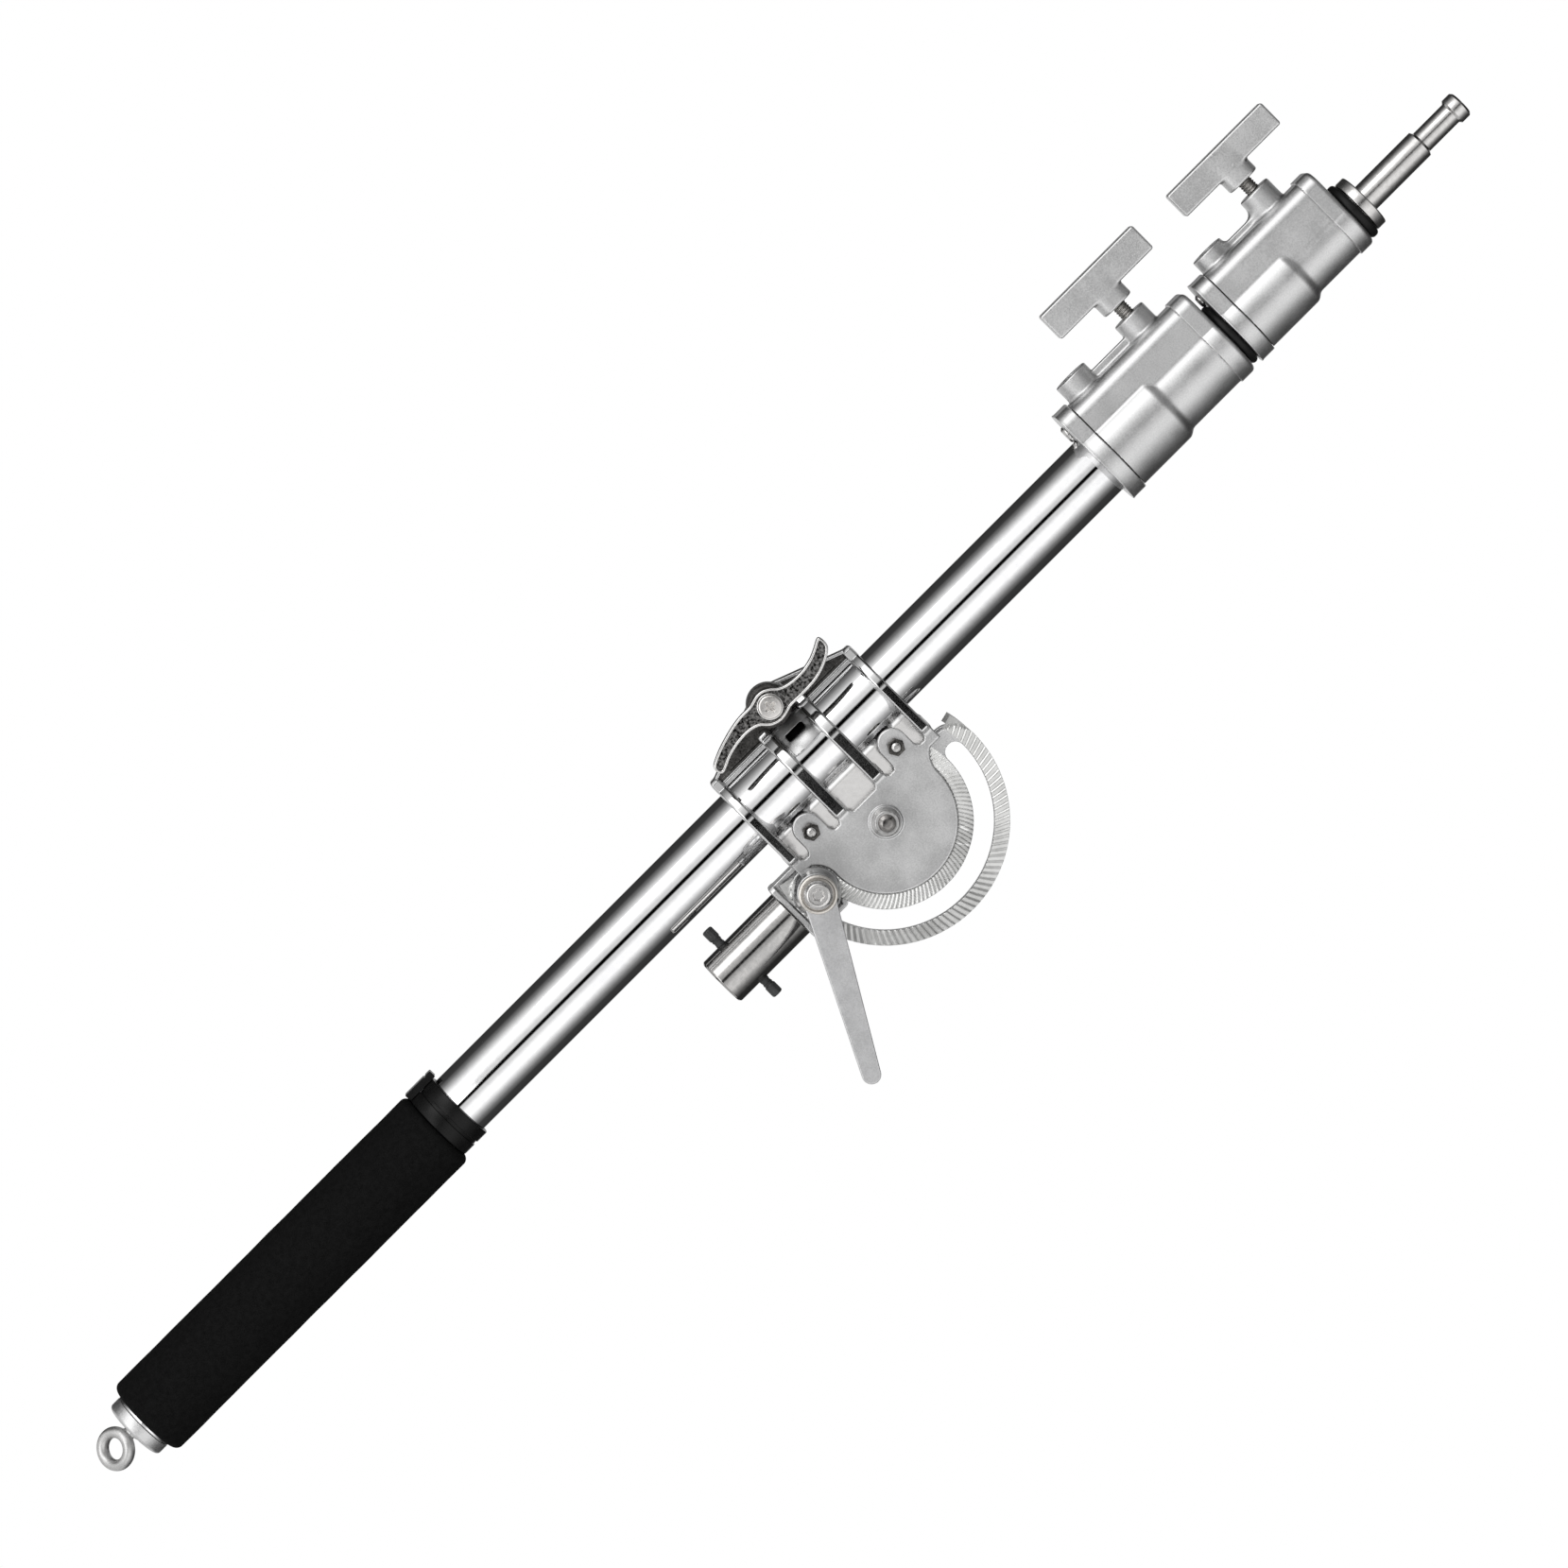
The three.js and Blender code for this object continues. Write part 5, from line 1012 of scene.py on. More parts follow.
# Saddle between the inner ribs: a sleeve whose radius sinks by barrel * z squared, with a round lower edge
# and a narrow slot through it
def saddleField(tube, x, y, z):
    v = casting
    edge = np.hypot(x + 84.0, z * 0.55) - 27.5
    barrel = np.hypot(tube, y) - v["saddle"] - v["bulge"] + v["barrel"] * z * z
    saddle = np.maximum(np.maximum(barrel, edge), np.abs(z) - v["innerRib"])
    notch = plateField(x, z, -67.9, -v["notchHalf"], -64.0, v["notchHalf"], 1.0)
    notch = np.maximum(notch, v["notchFoot"] - y)
    return common(saddle, -notch, 0.4)


# Ear: hull of the lug's disc and the two ribs' outer corners, with a rough recess inside its rim
def earField(x, y, z):
    v = casting
    lug = axisX - v["lug"]
    slopes = [taperField(x, z, np.array([lug, 0.0]), (axisX - 23.2, side * (v["half"] - 2.2)),
                         v["lugRadius"], 2.2) for side in (-1, 1)]
    middle = plateField(x, z, axisX - v["rib"], -v["half"], axisX, v["half"], 2.0)
    triangle = np.maximum((11.0 * np.abs(z) - 48.35 * (x - wingX)) / 49.6, x + 73.0)
    triangle = np.maximum(triangle, np.abs(z) - v["half"])
    flat = np.minimum(np.minimum(np.minimum(slopes[0], slopes[1]), middle), triangle)
    ear = common(flat, between(y, v["split"], v["earHigh"]), 0.5)
    recess = np.maximum(np.maximum(flat + v["earRim"], v["recessStart"] - np.hypot(x - lug, z)), x + 73.2)
    ear = without(ear, common(recess, v["recessHigh"] - y, 0.6), 0.4)
    rim = np.maximum(plateField(x, z, -72.6, -v["half"], -60.0, v["half"], 0.5), v["split"] - y)
    return fused(ear, common(rim, y - v["rimHigh"], 0.6), 0.4)


# All that is cut out: the liner's space, the bores, and the slot, wider outward by widen
def openingField(widen, tube, x, y, z):
    v = casting
    leg = np.maximum(np.maximum(-tube, tube - v["legEnd"]), y - v["legHigh"])
    space = fused(np.hypot(tube, y) - v["bore"], leg, 4.0)
    space = np.maximum(space, -v["split"] - y)
    shellHole = np.hypot(x - v["shellPlace"], np.abs(z) - v["tab"]) - v["shellBore"]
    holes = np.minimum(np.minimum(np.hypot(x, z) - v["pivotBore"], shellHole),
                       np.hypot(x - (axisX - v["lug"]), z) - v["pivotBore"])
    outward = np.where(x > 0, np.clip(np.hypot(x, z) - v["slot"], 0, 1), 0)
    holes = np.minimum(holes, trackField(x, z, v["slotHalf"]) - widen * outward)
    return np.minimum(space, holes)


# One half of the cradle, x and z from the pivot and y into the half: its parts joined with fillets, then
# cut, and ended at the split
def castingField(widen, x, y, z):
    z = z - pivotZ
    tube = x - axisX
    body = fused(sectorField(x, y, z), ribField(tube, x, y, z), 2.4)
    body = fused(body, saddleField(tube, x, y, z), 0.6)
    body = fused(body, earField(x, y, z), 0.8)
    body = np.maximum(body, -openingField(widen, tube, x, y, z))
    return np.maximum(body, casting["split"] - y)


castingReach = ((-95, 1.0, 3.2), (64.2, 25.4, 132.2), casting["step"])
frontShape = netOf(partial(castingField, 0.0), *castingReach)
backShape = netOf(partial(castingField, casting["backSlot"]), *castingReach)
# the flat runs of the ribs are ground a little hollow, so their normals lean towards the ear
for shape in (frontShape, backShape):
    points, normals = shape[0], shape[2]
    ground = (points[:, 1] > 25.0) & (points[:, 0] > -50.0) & (np.abs(normals[:, 0]) < 0.2)
    normals[:, 0] -= 0.06 * ground
    normals /= np.sqrt((normals ** 2).sum(1))[:, None]

teeth = {"pitch": 3.1, "height": 0.45, "innerLean": 0.5, "outerLean": -0.38, "reach": 104.0}


# Radial ridges on the track: strips of a grid in radius and angle; the height is a leaning wave of the
# angle that fades at both borders, and the strip sinks under the casting past the track's round ends
def toothStrip(v, near, far, y0, lean):
    angle = np.radians(np.linspace(-v["reach"], v["reach"], int(2 * v["reach"] / v["pitch"] * 10) + 1))
    inset = np.array([0.0, 0.12, 0.3, 0.6])
    radius = np.concatenate([near + inset, np.linspace(near + 1.2, far - 1.2, 5), (far - inset)[::-1]])
    r, a = np.meshgrid(radius, angle, indexing="ij")
    share = ((np.degrees(a) + lean * (r - casting["slot"])) / v["pitch"]) % 1.0
    wave = np.where(share < 0.7, share / 0.7, (1 - share) / 0.3)
    wave = wave * wave * (3 - 2 * wave)
    x, z = r * np.cos(a), r * np.sin(a)
    fade = np.clip(np.minimum(r - near, far - r) / 0.12, 0, 1)
    inside = (trackField(x, z, casting["trackHalf"] - 0.05) < 0) & (x > -14.4)
    top = np.where(inside, y0 + 0.05 + v["height"] * wave * (0.6 + 0.4 * fade), y0 - 0.35)
    points = [np.stack([x, top, z + pivotZ], -1), np.stack([x, 0 * x + y0 - 0.6, z + pivotZ], -1)]
    rows, columns = x.shape
    upper = gridFaces(rows, columns, False, False)
    lower = upper[:, ::-1] + rows * columns
    border = np.concatenate([np.arange(columns), columns * np.arange(1, rows) + columns - 1,
                             (rows - 1) * columns + np.arange(columns - 2, -1, -1),
                             columns * np.arange(rows - 2, 0, -1)])
    ahead = np.roll(border, -1)
    deep = rows * columns
    side = np.concatenate([np.stack([border, border + deep, ahead + deep], 1),
                           np.stack([border, ahead + deep, ahead], 1)])
    return np.concatenate([point.reshape(-1, 3) for point in points]), np.concatenate([upper, lower, side])


slotEdge = casting["slot"] + casting["slotHalf"] + 0.15
trackEdge = casting["slot"] + casting["trackHalf"] - 0.1
innerTeeth = toothStrip(teeth, casting["slot"] - casting["trackHalf"] + 0.3,
                        casting["slot"] - casting["slotHalf"] - 0.15, casting["track"], teeth["innerLean"])
frontTeeth = gathered(innerTeeth, toothStrip(teeth, slotEdge, trackEdge, casting["track"],
                                             teeth["outerLean"]))
backTeeth = gathered(innerTeeth, toothStrip(teeth, slotEdge + casting["backSlot"], trackEdge,
                                            casting["track"], teeth["outerLean"]))
for name, node, shape, strip in (
        ("castingBack", "casting_back", backShape, backTeeth),
        ("castingFront", "casting_front", mirrored(frontShape), mirrored(frontTeeth))):
    addPiece(name, shape, "cradleCasting", "cradle", [node])
    addPiece(name + "Teeth", strip, "toothCasting", "cradle", [])
print("castings")

liner = {"bore": 17.8, "radius": 20.4, "legNear": 8.3, "legFar": 10.3, "legEnd": 35.5, "half": 50.15,
         "bend": 4.2, "lean": 0.8, "groove": 0.5}


# Liner: half a sleeve from the split at y = 1, a hollow bend that touches sleeve and leg, then the flat leg,
# as one outline along Z
def linerShape(v):
    bendHeight = v["legFar"] + v["bend"]
    bendPlace = math.sqrt((v["radius"] + v["bend"]) ** 2 - bendHeight ** 2)
    start, end = math.asin(1.0 / v["radius"]), math.atan2(bendHeight, bendPlace)
    outer = np.pi - start - np.linspace(0, 1, 60) * (np.pi - start - end)
    hollow = end + np.pi + np.linspace(0, 1, 12)[1:] * (np.pi / 2 - end)
    begin, stop = math.asin(1.0 / v["bore"]), math.asin(v["legNear"] / v["bore"])
    inner = stop + np.linspace(0, 1, 60) * (np.pi - begin - stop)
    outline = np.concatenate([
        v["radius"] * np.stack([np.cos(outer), np.sin(outer)], 1),
        np.array([bendPlace, bendHeight]) + v["bend"] * np.stack([np.cos(hollow), np.sin(hollow)], 1),
        np.array([[0.1, 0], [0.2, -v["groove"]], [0.7, -v["groove"]], [0.8, 0]]) + [bendPlace, v["legFar"]],
        [[v["legEnd"], v["legFar"] - v["lean"]], [v["legEnd"], v["legNear"]]],
        v["bore"] * np.stack([np.cos(inner), np.sin(inner)], 1)])
    return gathered(extruded(outline, -v["half"], v["half"], 0.25, (axisX, 0, pivotZ)))


linerBack = linerShape(liner)
addPiece("linerBack", linerBack, "linerSteel", "cradle", ["liner_back"], 25)
addPiece("linerFront", mirrored(linerBack), "linerSteel", "cradle", ["liner_front"], 25)

shell = {"places": (37.0, 98.4), "x": -23.7, "bolt": 2.5, "tip": 1.3, "hex": 4.6, "nut": 4.8, "bore": 2.8,
         "low": 15.3, "high": 19.3, "sides": 48, "hexSides": 60}
for index, height in enumerate(shell["places"], 1):
    at = (shell["x"], 0, height)
    corners = [(0, -20.7, 0), (shell["tip"], -20.7, 0.6), (shell["bolt"], -20.0, 0.5),
               (shell["bolt"], 15.6, 0), (0, 15.6, 0)]
    addPiece(f"shellBolt{index}", boltShape(corners, shell["hex"], shell["low"], shell["high"], at,
                                            shell["sides"], shell["hexSides"]),
             "brightSteel", "cradle", [f"shell_bolt_{index}"])
    nut = hexPrism(shell["nut"], -shell["high"], -shell["low"], "Y", at, shell["bore"], True, False,
                   shell["hexSides"])
    addPiece(f"shellNut{index}", gathered(nut), "nutSteel", "cradle", [f"shell_nut_{index}"])

addPiece("wingBoltPiece", boltShape([(0, -30.9, 0), (4.0, -30.9, 0.3), (4.0, 7.0, 0), (0, 7.0, 0)],
                                    7.4, 6.6, 12.0, wingAt, 48), "plainSteel", "cradle", ["wing_bolt"])
addTurned("spacerPiece", [(4.3, -6.6, 0), (11.5, -6.6, 0.4), (11.5, -24.6, 1.3), (9.9, -26.0, 0.4),
                          (4.3, -26.0, 0)], "darkCasting", "cradle", "wing_spacer", "Y", wingAt, True)

wing = {"hub": 9.2, "rim": 1.5, "groove": 6.9, "pocket": 1.6, "hubPocket": 1.3, "near": 26.3, "far": 33.1,
        "bore": 4.3, "boreDepth": 4.9, "step": 0.34}


# Wing handle: outline drawn in the photograph's plane (along the boom, away from the stud), a round rim
# left standing round the pockets and the hub
def wingField(x, y, z):
    v = wing
    across, away = z - pivotZ, wingX - x
    around = np.hypot(across, away)
    flat = fused(outlineField(across, away, wingLine), around - v["hub"], 2.0)
    body = common(flat, between(-y, v["near"] + 0.5, v["far"]), 0.75)
    inner = flat + v["rim"]
    deep = np.where(around < v["hub"], v["hubPocket"], v["pocket"])
    pocket = common(np.maximum(inner, v["groove"] - around), v["far"] - deep + y, 0.3)
    body = without(body, pocket, 0.55)
    return np.maximum(body, -np.maximum(around - v["bore"], -y - v["near"] - v["boreDepth"]))


# S-shaped outline of the two arms: points along the upper and lower edges, run through by a smooth curve
def wingOutline():
    right = np.array([[6.0, 6.4], [8.7, 4.5], [13.7, 2.0], [22.6, 1.2], [30.5, 2.5], [36.4, 5.0], [41.4, 7.9],
                      [43.0, 7.3], [43.5, 3.5], [42.4, 0.0], [36.4, -4.0], [27.5, -7.1], [17.6, -7.7],
                      [9.0, -7.4], [5.0, -7.8]])
    left = np.array([[-5.0, -8.0], [-8.5, -5.2], [-10.6, -3.2], [-16.0, -1.5], [-24.0, -1.8], [-31.9, -3.5],
                     [-37.8, -6.4], [-40.9, -7.4], [-42.7, -5.5], [-42.8, -1.8], [-39.8, 0.4], [-31.9, 3.7],
                     [-22.0, 6.4], [-14.1, 7.6], [-8.1, 7.4], [-5.0, 7.8]])
    line = np.concatenate([right, left])
    for _ in range(2):
        ahead = np.roll(line, -1, 0)
        line = np.stack([0.75 * line + 0.25 * ahead, 0.25 * line + 0.75 * ahead], 1).reshape(-1, 2)
    return line


wingLine = wingOutline()
addPiece("wingPiece", netOf(wingField, (-94.6, -33.4, 23.9), (-75.0, -26.3, 111.5), wing["step"]),
         "wingCasting", "wing", ["wing_handle"])

wingCapSet = {"radius": 6.2, "foot": -33.6, "top": -35.5, "flat": 5.0, "armHalf": 0.85, "armReach": 3.2,
              "depth": 1.1, "dome": 0.25, "sides": 96}


# Cap screw with a cross recess: two crossed slots sink by depth * clip of (half width - distance from the
# arm), and the top falls by dome * (radius / flat) squared
def wingCap(v):
    edge = softened([(v["radius"], v["foot"], 0), (v["radius"], -35.2, 0.9), (5.2, v["top"], 0.2)], 4)
    ring = np.linspace(v["flat"], 0, 22)
    angle = np.linspace(0, 2 * np.pi, v["sides"], endpoint=False)
    r, a = np.meshgrid(ring, angle, indexing="ij")
    arm = np.minimum(np.abs(r * np.sin(a)), np.abs(r * np.cos(a)))
    sink = np.clip((v["armHalf"] - arm) / 0.5, 0, 1) * np.clip((v["armReach"] - r) / 0.7, 0, 1)
    rows = [np.zeros((1, v["sides"])), np.repeat(edge[:, :1], v["sides"], 1), r]
    level = [np.full((1, v["sides"]), v["foot"]), np.repeat(edge[:, 1:], v["sides"], 1),
             v["top"] - v["dome"] * (1 - (r / v["flat"]) ** 2) + v["depth"] * sink]
    return gathered(turned(np.concatenate(rows), np.concatenate(level), "Y", wingAt))


addPiece("wingScrewPiece", wingCap(wingCapSet), "screwSteel", "wing", ["wing_screw"])
print("cradle and wing")

# Boom
tubes = {
    "main": {"bore": 16.0, "radius": 17.5, "low": -421.0, "high": 322.3, "body": "boom"},
    "middle": {"bore": 13.7, "radius": 15.0, "low": -326.2, "high": 418.8, "body": "middle_stage"},
    "inner": {"bore": 11.2, "radius": 12.5, "low": -238.0, "high": 462.0, "body": "inner_stage"},
}
for name, v in tubes.items():
    addTurned(name + "TubePiece", [
        (v["bore"], v["low"], 0.2), (v["radius"], v["low"], 0.3), (v["radius"], v["high"], 0.3),
        (v["bore"], v["high"], 0.2)],
        "mirrorChrome", v["body"], name + "_tube", "Z", boomAt, True, 144, 2, 25)

# guide bushes: the flange runs in the wider tube and the plug sits in the narrower one
bushes = {
    "1": {"low": -326.5, "high": -311.2, "flange": 15.7, "plug": 13.4, "bore": 11.2, "body": "middle_stage"},
    "2": {"low": -238.3, "high": -223.0, "flange": 13.4, "plug": 10.9, "bore": 8.7, "body": "inner_stage"},
}
bushFlange = 6.0
for number, v in bushes.items():
    addTurned("guideBush" + number, [
        (v["bore"], v["low"] - bushFlange, 0.3), (v["flange"], v["low"] - bushFlange, 0.5),
        (v["flange"], v["low"], 0.2), (v["plug"], v["low"], 0), (v["plug"], v["high"], 0.4),
        (v["bore"], v["high"], 0.3)],
        "blackPlastic", v["body"], "guide_bush_" + number, "Z", boomAt, True, 72, 3)

endCap = {"bore": 3.0, "low": -428.3, "seat": -421.3, "radius": 17.4, "corner": 2.2, "plug": 15.7,
          "plugEnd": -411.0}
addTurned("endCapPiece", [
    (endCap["bore"], endCap["low"], 0.2), (endCap["radius"], endCap["low"], endCap["corner"]),
    (endCap["radius"], endCap["seat"], 0.3), (endCap["plug"], endCap["seat"], 0),
    (endCap["plug"], endCap["plugEnd"], 0.4), (endCap["bore"], endCap["plugEnd"], 0.2)],
    "satinCasting", "boom", "end_cap", "Z", boomAt, True, 144, 6)

eye = {"ring": 8.6, "wire": 3.0, "deep": 3.6, "centre": -441.3, "turn": 28.0, "tilt": -24.0, "collar": 4.6,
       "collarLow": -430.2, "collarHigh": -428.6, "shank": 2.7, "shankLow": -431.5, "shankHigh": -404.6}


# Eye bolt: a ring of round wire, a flared collar and a shank, joined by a fillet
def eyeField(x, y, z):
    v = eye
    lean = math.radians(v["turn"])
    tilt = math.radians(v["tilt"])
    u = (x - axisX) * math.cos(lean) - y * math.sin(lean)
    w = (x - axisX) * math.sin(lean) + y * math.cos(lean)
    drop = z - v["centre"]
    w, drop = w * math.cos(tilt) - drop * math.sin(tilt), w * math.sin(tilt) + drop * math.cos(tilt)
    wire = (np.hypot((np.hypot(u, drop) - v["ring"]) / v["wire"], w / v["deep"]) - 1) * v["wire"]
    around = np.hypot(x - axisX, y)
    collar = common(around - v["collar"], between(z, v["collarLow"], v["collarHigh"]), 0.4)
    neck = np.maximum(around - v["shank"], between(z, v["shankLow"], v["shankHigh"]))
    return fused(fused(wire, np.minimum(neck, collar), 1.4), collar, 0.3)


addPiece("eyePiece", netOf(eyeField, (-62.5, -9.5, -452.4), (-39.5, 9.5, -404.5), 0.42), "eyeCasting",
         "boom", ["eye_bolt"])
addPiece("eyeNutPiece", gathered(hexPrism(5.6, -410.7, -406.3, "Z", boomAt, 3.0)), "plainSteel", "boom",
         ["eye_nut"])

grip = {"bore": 17.8, "radius": 23.1, "low": -419.5, "high": -206.9, "corner": 3.6, "waves": 0.10}


# Foam grip: turned with round ends; its wall swells by a few waves along and round it
def gripShape(v):
    middle = np.linspace(v["low"] + 8, v["high"] - 8, 90)
    line = softened([(v["bore"], v["low"], 0.4), (v["radius"], v["low"], v["corner"]),
                     (v["radius"], v["high"], v["corner"]), (v["bore"], v["high"], 0.4)], 7, True)
    half = len(line) // 2
    line = np.concatenate([line[:half], np.stack([0 * middle + v["radius"], middle], 1), line[half:]])
    angle = np.linspace(0, 2 * np.pi, 128, endpoint=False)[None]
    z = line[:, 1:]
    swell = (np.sin(0.11 * z + 1.3) * np.sin(angle + 0.4)
             + 0.6 * np.sin(0.23 * z) * np.cos(2 * angle + 0.03 * z) + 0.4 * np.sin(0.047 * z + 2.0))
    outer = np.clip((line[:, :1] - v["bore"] - 1.5) / 3.0, 0, 1)
    return gathered(turned(line[:, :1] + v["waves"] * swell * outer, line[:, 1], "Z", boomAt, True))


foam = addPiece("foamPiece", gripShape(grip), "blackFoam", "boom", ["foam_grip"], 60)

clip = {"bore": 17.8, "radius": 19.9, "low": -206.6, "high": -190.4, "groove": 19.2, "grooveLow": -199.6,
        "grooveHigh": -197.4, "latchTop": 23.6, "latchHalf": 5.0, "latchHigh": -188.6}
addTurned("clipPiece", [
    (clip["bore"], clip["low"], 0.3), (clip["radius"], clip["low"], 0.7),
    (clip["radius"], clip["grooveLow"], 0.15), (clip["groove"], clip["grooveLow"] + 0.2, 0.1),
    (clip["groove"], clip["grooveHigh"] - 0.2, 0.1), (clip["radius"], clip["grooveHigh"], 0.15),
    (clip["radius"], clip["high"], 0.7), (clip["bore"], clip["high"], 0.3)],
    "blackPlastic", "boom", "cable_clip", "Z", boomAt, True, 128, 4)


# Latch block on the band, with a shallow step in its top
def latchField(x, y, z):
    v = clip
    out = -(x - axisX)
    block = common(plateField(out, y, 10.0, -v["latchHalf"], v["latchTop"], v["latchHalf"], 0.5),
                   between(z, v["low"], v["latchHigh"]), 0.5)
    step = np.maximum(v["latchTop"] - 0.5 - out, between(z, v["latchHigh"] - 4.5, v["latchHigh"] - 3.7))
    return np.maximum(np.maximum(block, -step), v["radius"] + 0.3 - np.hypot(x - axisX, y))


addPiece("latchPiece", netOf(latchField, (-74.8, -5.1, -206.7), (-66.0, 5.1, -188.5), 0.4), "blackPlastic",
         "boom", ["clip_latch"])
print("boom and grip")

collarSets = {
    1: {"start": 275.0, "outer": 17.5, "inner": 15.0, "hump": 23.4, "humpLength": 46.5, "neck": 20.9,
        "cover": 24.6, "coverTop": 34.0, "rim": 21.8, "rimTop": 33.3, "top": 32.4, "half": 18.4, "boss": 9.75,
        "bossTop": 44.1, "setBoss": 9.9, "setTop": 43.2, "setPlace": 21.1, "screwPlace": 64.3, "web": 37.2,
        "webBend": 1.5, "rimPlace": 81.6, "length": 91.5, "coverPlace": 22.3, "head": 5.0},
    2: {"start": 371.5, "outer": 15.0, "inner": 12.5, "hump": 20.4, "humpLength": 45.5, "neck": 17.7,
        "cover": 21.4, "coverTop": 31.9, "rim": 18.7, "rimTop": 32.0, "top": 30.9, "half": 17.2, "boss": 9.5,
        "bossTop": 43.7, "setBoss": 9.5, "setTop": 39.1, "setPlace": 19.3, "screwPlace": 58.1, "web": 34.8,
        "webBend": 6.0, "rimPlace": 74.7, "length": 84.0, "coverPlace": 22.6, "head": 3.8},
}


# what both collars share: corner of the block, web and bores
collarForm = {"corner": 8.5, "rimGrow": 0.9, "webHalf": 3.6, "bossFoot": 12.0, "screwBore": 4.3,
              "shoeBore": 5.3, "shoeReach": 4.2, "boreEnd": 47.6, "coverBore": 2.1, "coverBoreEnd": 4.6,
              "gap": 0.3, "jointGap": 0.22, "flare": 0.35, "flareHigh": 2.2}


# Joint between cover and collar, a low wave across the front
def coverJoint(y):
    return 9.35 + 0.35 * np.tanh(y * 0.5 + 1.0)


# Web with both bosses on the side of the screws, with fillets between them
def bossField(v, out, up, y):
    form = collarForm
    setBoss = common(np.hypot(y, up - v["setPlace"]) - v["setBoss"], out - v["setTop"], 0.8)
    boss = common(np.hypot(y, up - v["screwPlace"]) - v["boss"], out - v["bossTop"], 1.0)
    web = common(np.abs(y) - form["webHalf"], out - v["web"], 0.8)
    web = np.maximum(web, between(up, v["setPlace"], v["screwPlace"]))
    upper = fused(fused(web, boss, v["webBend"]), setBoss, v["webBend"] * 0.6)
    return np.maximum(upper, -out + form["bossFoot"])


# Collar: turned hump and neck, a block with flat sides and round corners, a rim, two bosses and a web
def collarField(v, x, y, z):
    form, corner = collarForm, collarForm["corner"]
    out, up = -(x - axisX), z - v["start"]
    around = np.hypot(out, y)
    low = coverJoint(y) + form["jointGap"] - up
    hump = common(around - v["hump"], up - v["humpLength"], 4.2)
    neck = around - v["neck"]
    block = plateField(out, y, -corner, -v["half"], v["top"], v["half"], corner)
    body = fused(fused(hump, neck, 2.6), block, 0.7)
    body = np.maximum(body, up - v["rimPlace"] - 1.0)
    rimHalf = v["half"] + form["rimGrow"]
    rimFlat = plateField(out, y, -corner, -rimHalf, v["rimTop"], rimHalf, corner)
    rimFlat = np.minimum(around - v["rim"], rimFlat)
    rim = common(common(rimFlat, up - v["length"], 2.6), v["rimPlace"] - up, 0.35)
    body = fused(body, rim, 0.25)
    body = np.maximum(fused(body, bossField(v, out, up, y), 2.2), low)
    bores = np.minimum(np.maximum(around - v["outer"] - form["gap"], up - form["boreEnd"]),
                       around - v["inner"] - form["gap"])
    screws = np.minimum(np.maximum(np.hypot(y, up - v["setPlace"]) - form["screwBore"], -out),
                        np.maximum(np.hypot(y, up - v["screwPlace"]) - form["screwBore"], -out))
    shoe = np.maximum(np.hypot(y, up - v["screwPlace"]) - form["shoeBore"],
                      between(out, 0, v["inner"] + form["shoeReach"]))
    return without(np.maximum(body, -np.minimum(screws, shoe)), bores, 0.4)


# Cover plate under the collar; its rim widens by flare * (share of the flare's height left) squared
def coverField(v, x, y, z):
    form, corner = collarForm, collarForm["corner"]
    out, up = -(x - axisX), z - v["start"]
    around = np.hypot(out, y)
    flare = form["flare"] * np.clip((form["flareHigh"] - up) / form["flareHigh"], 0, 1) ** 2
    half = v["half"] + (v["cover"] - v["hump"])
    flat = np.minimum(around - v["cover"], plateField(out, y, -corner, -half, v["coverTop"], half, corner))
    flat = flat - flare
    body = common(common(flat, -up, 0.5), up - coverJoint(y) + form["jointGap"], 0.5)
    screw = np.maximum(np.hypot(out - v["coverPlace"], y) - form["coverBore"], up - form["coverBoreEnd"])
    return np.maximum(body, -np.minimum(around - v["outer"] - form["gap"], screw))


handleSets = {1: {"low": 51.2, "floor": 59.5, "top": 75.7, "half": 33.4, "place": 339.3},
              2: {"low": 50.6, "floor": 58.4, "top": 73.4, "half": 34.1, "place": 429.6}}
# what both handles share
handleForm = {"hub": 9.4, "oval": 1.3, "barHalf": 5.6, "wedge": 6.7, "wedgeLean": 0.12, "bore": 4.3,
              "boreDepth": 6.3}


# T-handle: oval hub that runs into the flat bar as a wedge; all edges of the bar rounded
def handleField(v, x, y, z):
    form = handleForm
    out, up = -(x - axisX), z - v["place"]
    hub = (np.hypot(form["oval"] * y, up) - form["hub"]) / 1.15
    hub = common(hub, between(out, v["low"], v["top"] - 1.0), 1.2)
    wedge = np.abs(y) - form["wedge"] + form["wedgeLean"] * np.maximum(out - v["floor"] + 1.0, 0)
    bar = plateField(out, up, v["floor"], -v["half"], v["top"], v["half"], 1.5)
    bar = common(bar, np.abs(y) - form["barHalf"], 1.3)
    body = fused(bar, common(hub, wedge, 1.5), 1.6)
    return np.maximum(body, -np.maximum(np.hypot(y, up) - form["bore"], out - v["low"] - form["boreDepth"]))


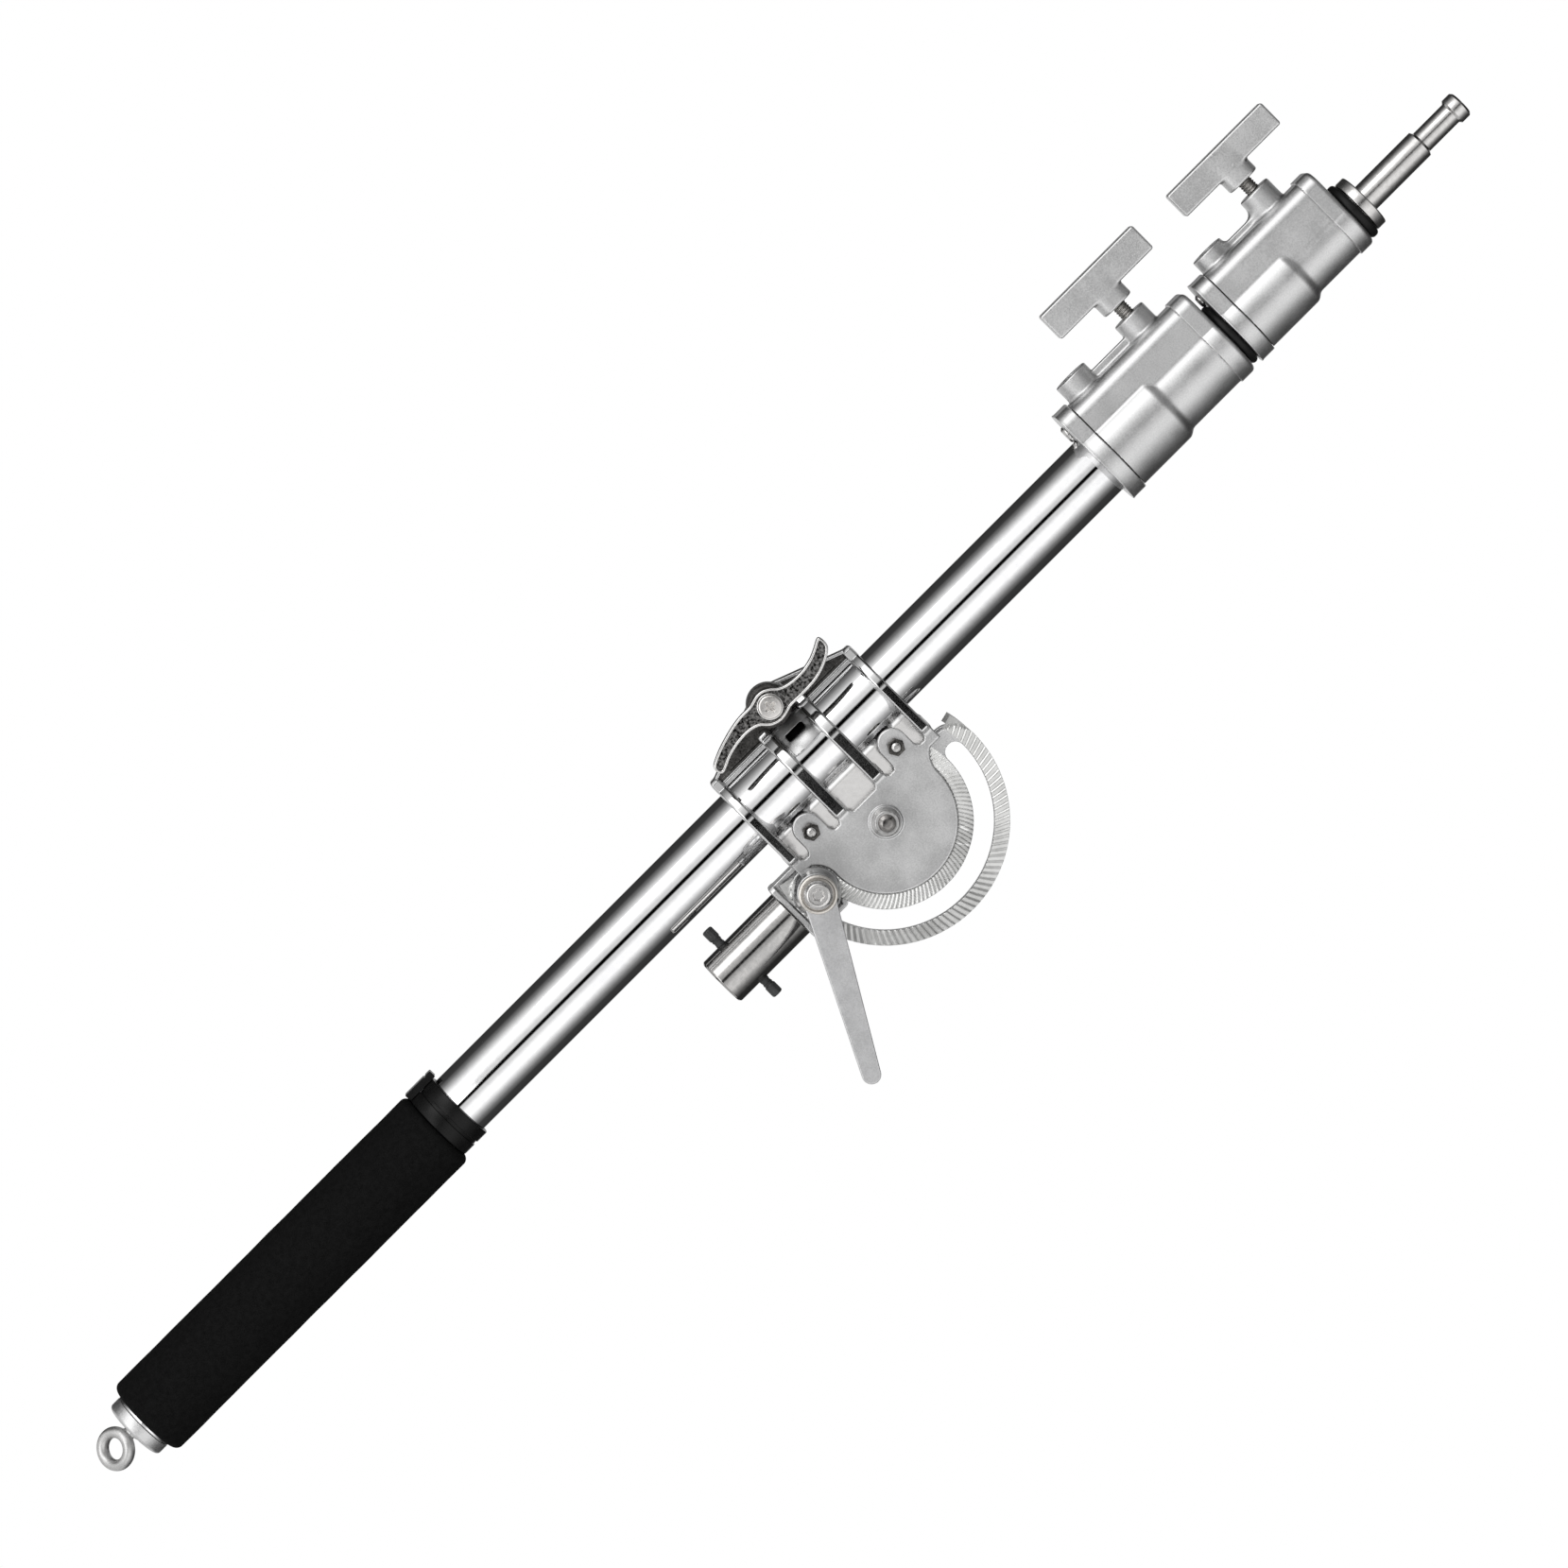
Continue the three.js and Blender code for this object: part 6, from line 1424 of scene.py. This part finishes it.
# One collar with its cover, screws, brake shoe and T-handle
def addCollar(number, v, hold, carrier):
    start, reach = v["start"], v["cover"] + 0.6
    handle = f"handle_{number}"
    addPiece(f"collar{number}", netOf(
        partial(collarField, v), (axisX - 44.3, -v["hump"], start + 9.0),
        (axisX + v["hump"], v["hump"], start + v["length"]), 0.66),
        "satinCasting", carrier, [f"collar_{number}"])
    addPiece(f"collarCover{number}", netOf(
        partial(coverField, v), (axisX - v["coverTop"] - 0.4, -reach, start),
        (axisX + reach, reach, start + 9.9), 0.6), "satinCasting", carrier, [f"collar_cover_{number}"])
    at = (axisX, 0, start + v["setPlace"])
    setStart = -(v["outer"] + 0.3)
    addPiece(f"setScrew{number}", gathered(threaded(4.0, 0.35, 1.25, setStart - 9.0, setStart, "X", at)),
             "plainSteel", carrier, [f"set_screw_{number}"])
    at = (axisX, 0, start + v["screwPlace"])
    shoe = -(v["inner"] + 0.3)
    addTurned(f"brakeShoe{number}", [
        (0, shoe - 3.6, 0), (5.0, shoe - 3.6, 0.3), (5.0, shoe, 0.2), (0, shoe, 0)],
        "turnedBrass", carrier, f"brake_shoe_{number}", "X", at, False, 48)
    addPiece(f"clampScrew{number}", gathered(threaded(
        4.0, 0.45, 1.5, -hold["low"] - 6.0, shoe - 3.9, "X", at)),
        "threadSteel", handle, [f"clamp_screw_{number}"])
    addPiece(f"tHandle{number}", netOf(
        partial(handleField, hold), (axisX - hold["top"], -9.6, hold["place"] - 34.2),
        (axisX - hold["low"], 9.6, hold["place"] + 34.2), 0.5),
        "satinCasting", handle, [f"t_handle_{number}"])
    addTurned(f"coverScrew{number}", [
        (0, start - 2.5, 0), (v["head"] - 1.2, start - 2.4, 1.0), (v["head"], start - 1.2, 0.9),
        (v["head"], start - 0.3, 0.2), (1.8, start - 0.3, 0), (1.8, start + 4.3, 0.2), (0, start + 4.3, 0)],
        "brightSteel", carrier, f"cover_screw_{number}", "Z", (axisX - v["coverPlace"], 0, 0), False, 48)


for number, carrier in ((1, "boom"), (2, "middle_stage")):
    addCollar(number, collarSets[number], handleSets[number], carrier)

rings = {
    "1": {"bore": 15.3, "radius": 19.5, "low": 366.8, "high": 371.2, "body": "middle_stage"},
    "2": {"bore": 12.8, "radius": 17.3, "low": 455.6, "high": 460.7, "body": "inner_stage"},
}
for number, v in rings.items():
    addTurned("rubberRing" + number, [
        (v["bore"], v["low"], 0.3), (v["radius"], v["low"], 2.1), (v["radius"], v["high"], 2.1),
        (v["bore"], v["high"], 0.3)],
        "blackRubber", v["body"], "rubber_ring_" + number, "Z", boomAt, True, 128, 6)

# spigot base with its plug and recess, and the spigot with shank, neck and head
foot = {"plug": 10.9, "plugLow": 444.3, "radius": 15.8, "low": 460.9, "high": 467.0, "recess": 8.3,
        "recessLow": 466.4, "bore": 5.1, "boreLow": 453.4}
addTurned("spigotBasePiece", [
    (0, foot["plugLow"], 0), (foot["plug"], foot["plugLow"], 0.6), (foot["plug"], foot["low"], 0),
    (foot["radius"], foot["low"], 0.8), (foot["radius"], foot["high"], 0.9),
    (foot["recess"], foot["high"], 0.3),
    (foot["recess"], foot["recessLow"], 0.1), (foot["bore"], foot["recessLow"], 0.1),
    (foot["bore"], foot["boreLow"], 0.1), (0, foot["boreLow"], 0)],
    "studChrome", "inner_stage", "spigot_base", "Z", boomAt, False, 144)
spigot = {"thread": 4.8, "threadLow": 453.7, "low": 466.5, "radius": 8.0, "shankHigh": 507.1, "neck": 6.25,
          "neckLow": 508.3, "neckHigh": 529.2, "head": 7.7, "headLow": 530.4, "edge": 1.2, "top": 536.9}
addTurned("spigotPiece", [
    (0, spigot["threadLow"], 0), (spigot["thread"], spigot["threadLow"], 0.4),
    (spigot["thread"], spigot["low"], 0), (spigot["radius"], spigot["low"], 0.3),
    (spigot["radius"], spigot["shankHigh"], 0.5), (spigot["neck"], spigot["neckLow"], 0.5),
    (spigot["neck"], spigot["neckHigh"], 0.5), (spigot["head"], spigot["headLow"], 0.5),
    (spigot["head"], spigot["top"] - spigot["edge"], 0.8),
    (spigot["head"] - spigot["edge"], spigot["top"], 0.8),
    (0, spigot["top"], 0)], "studChrome", "inner_stage", "spigot", "Z", boomAt, False, 128)
print("pieces:", len(shown), "triangles:", sum(shown.values()), "largest:", max(shown, key=shown.get),
      max(shown.values()))
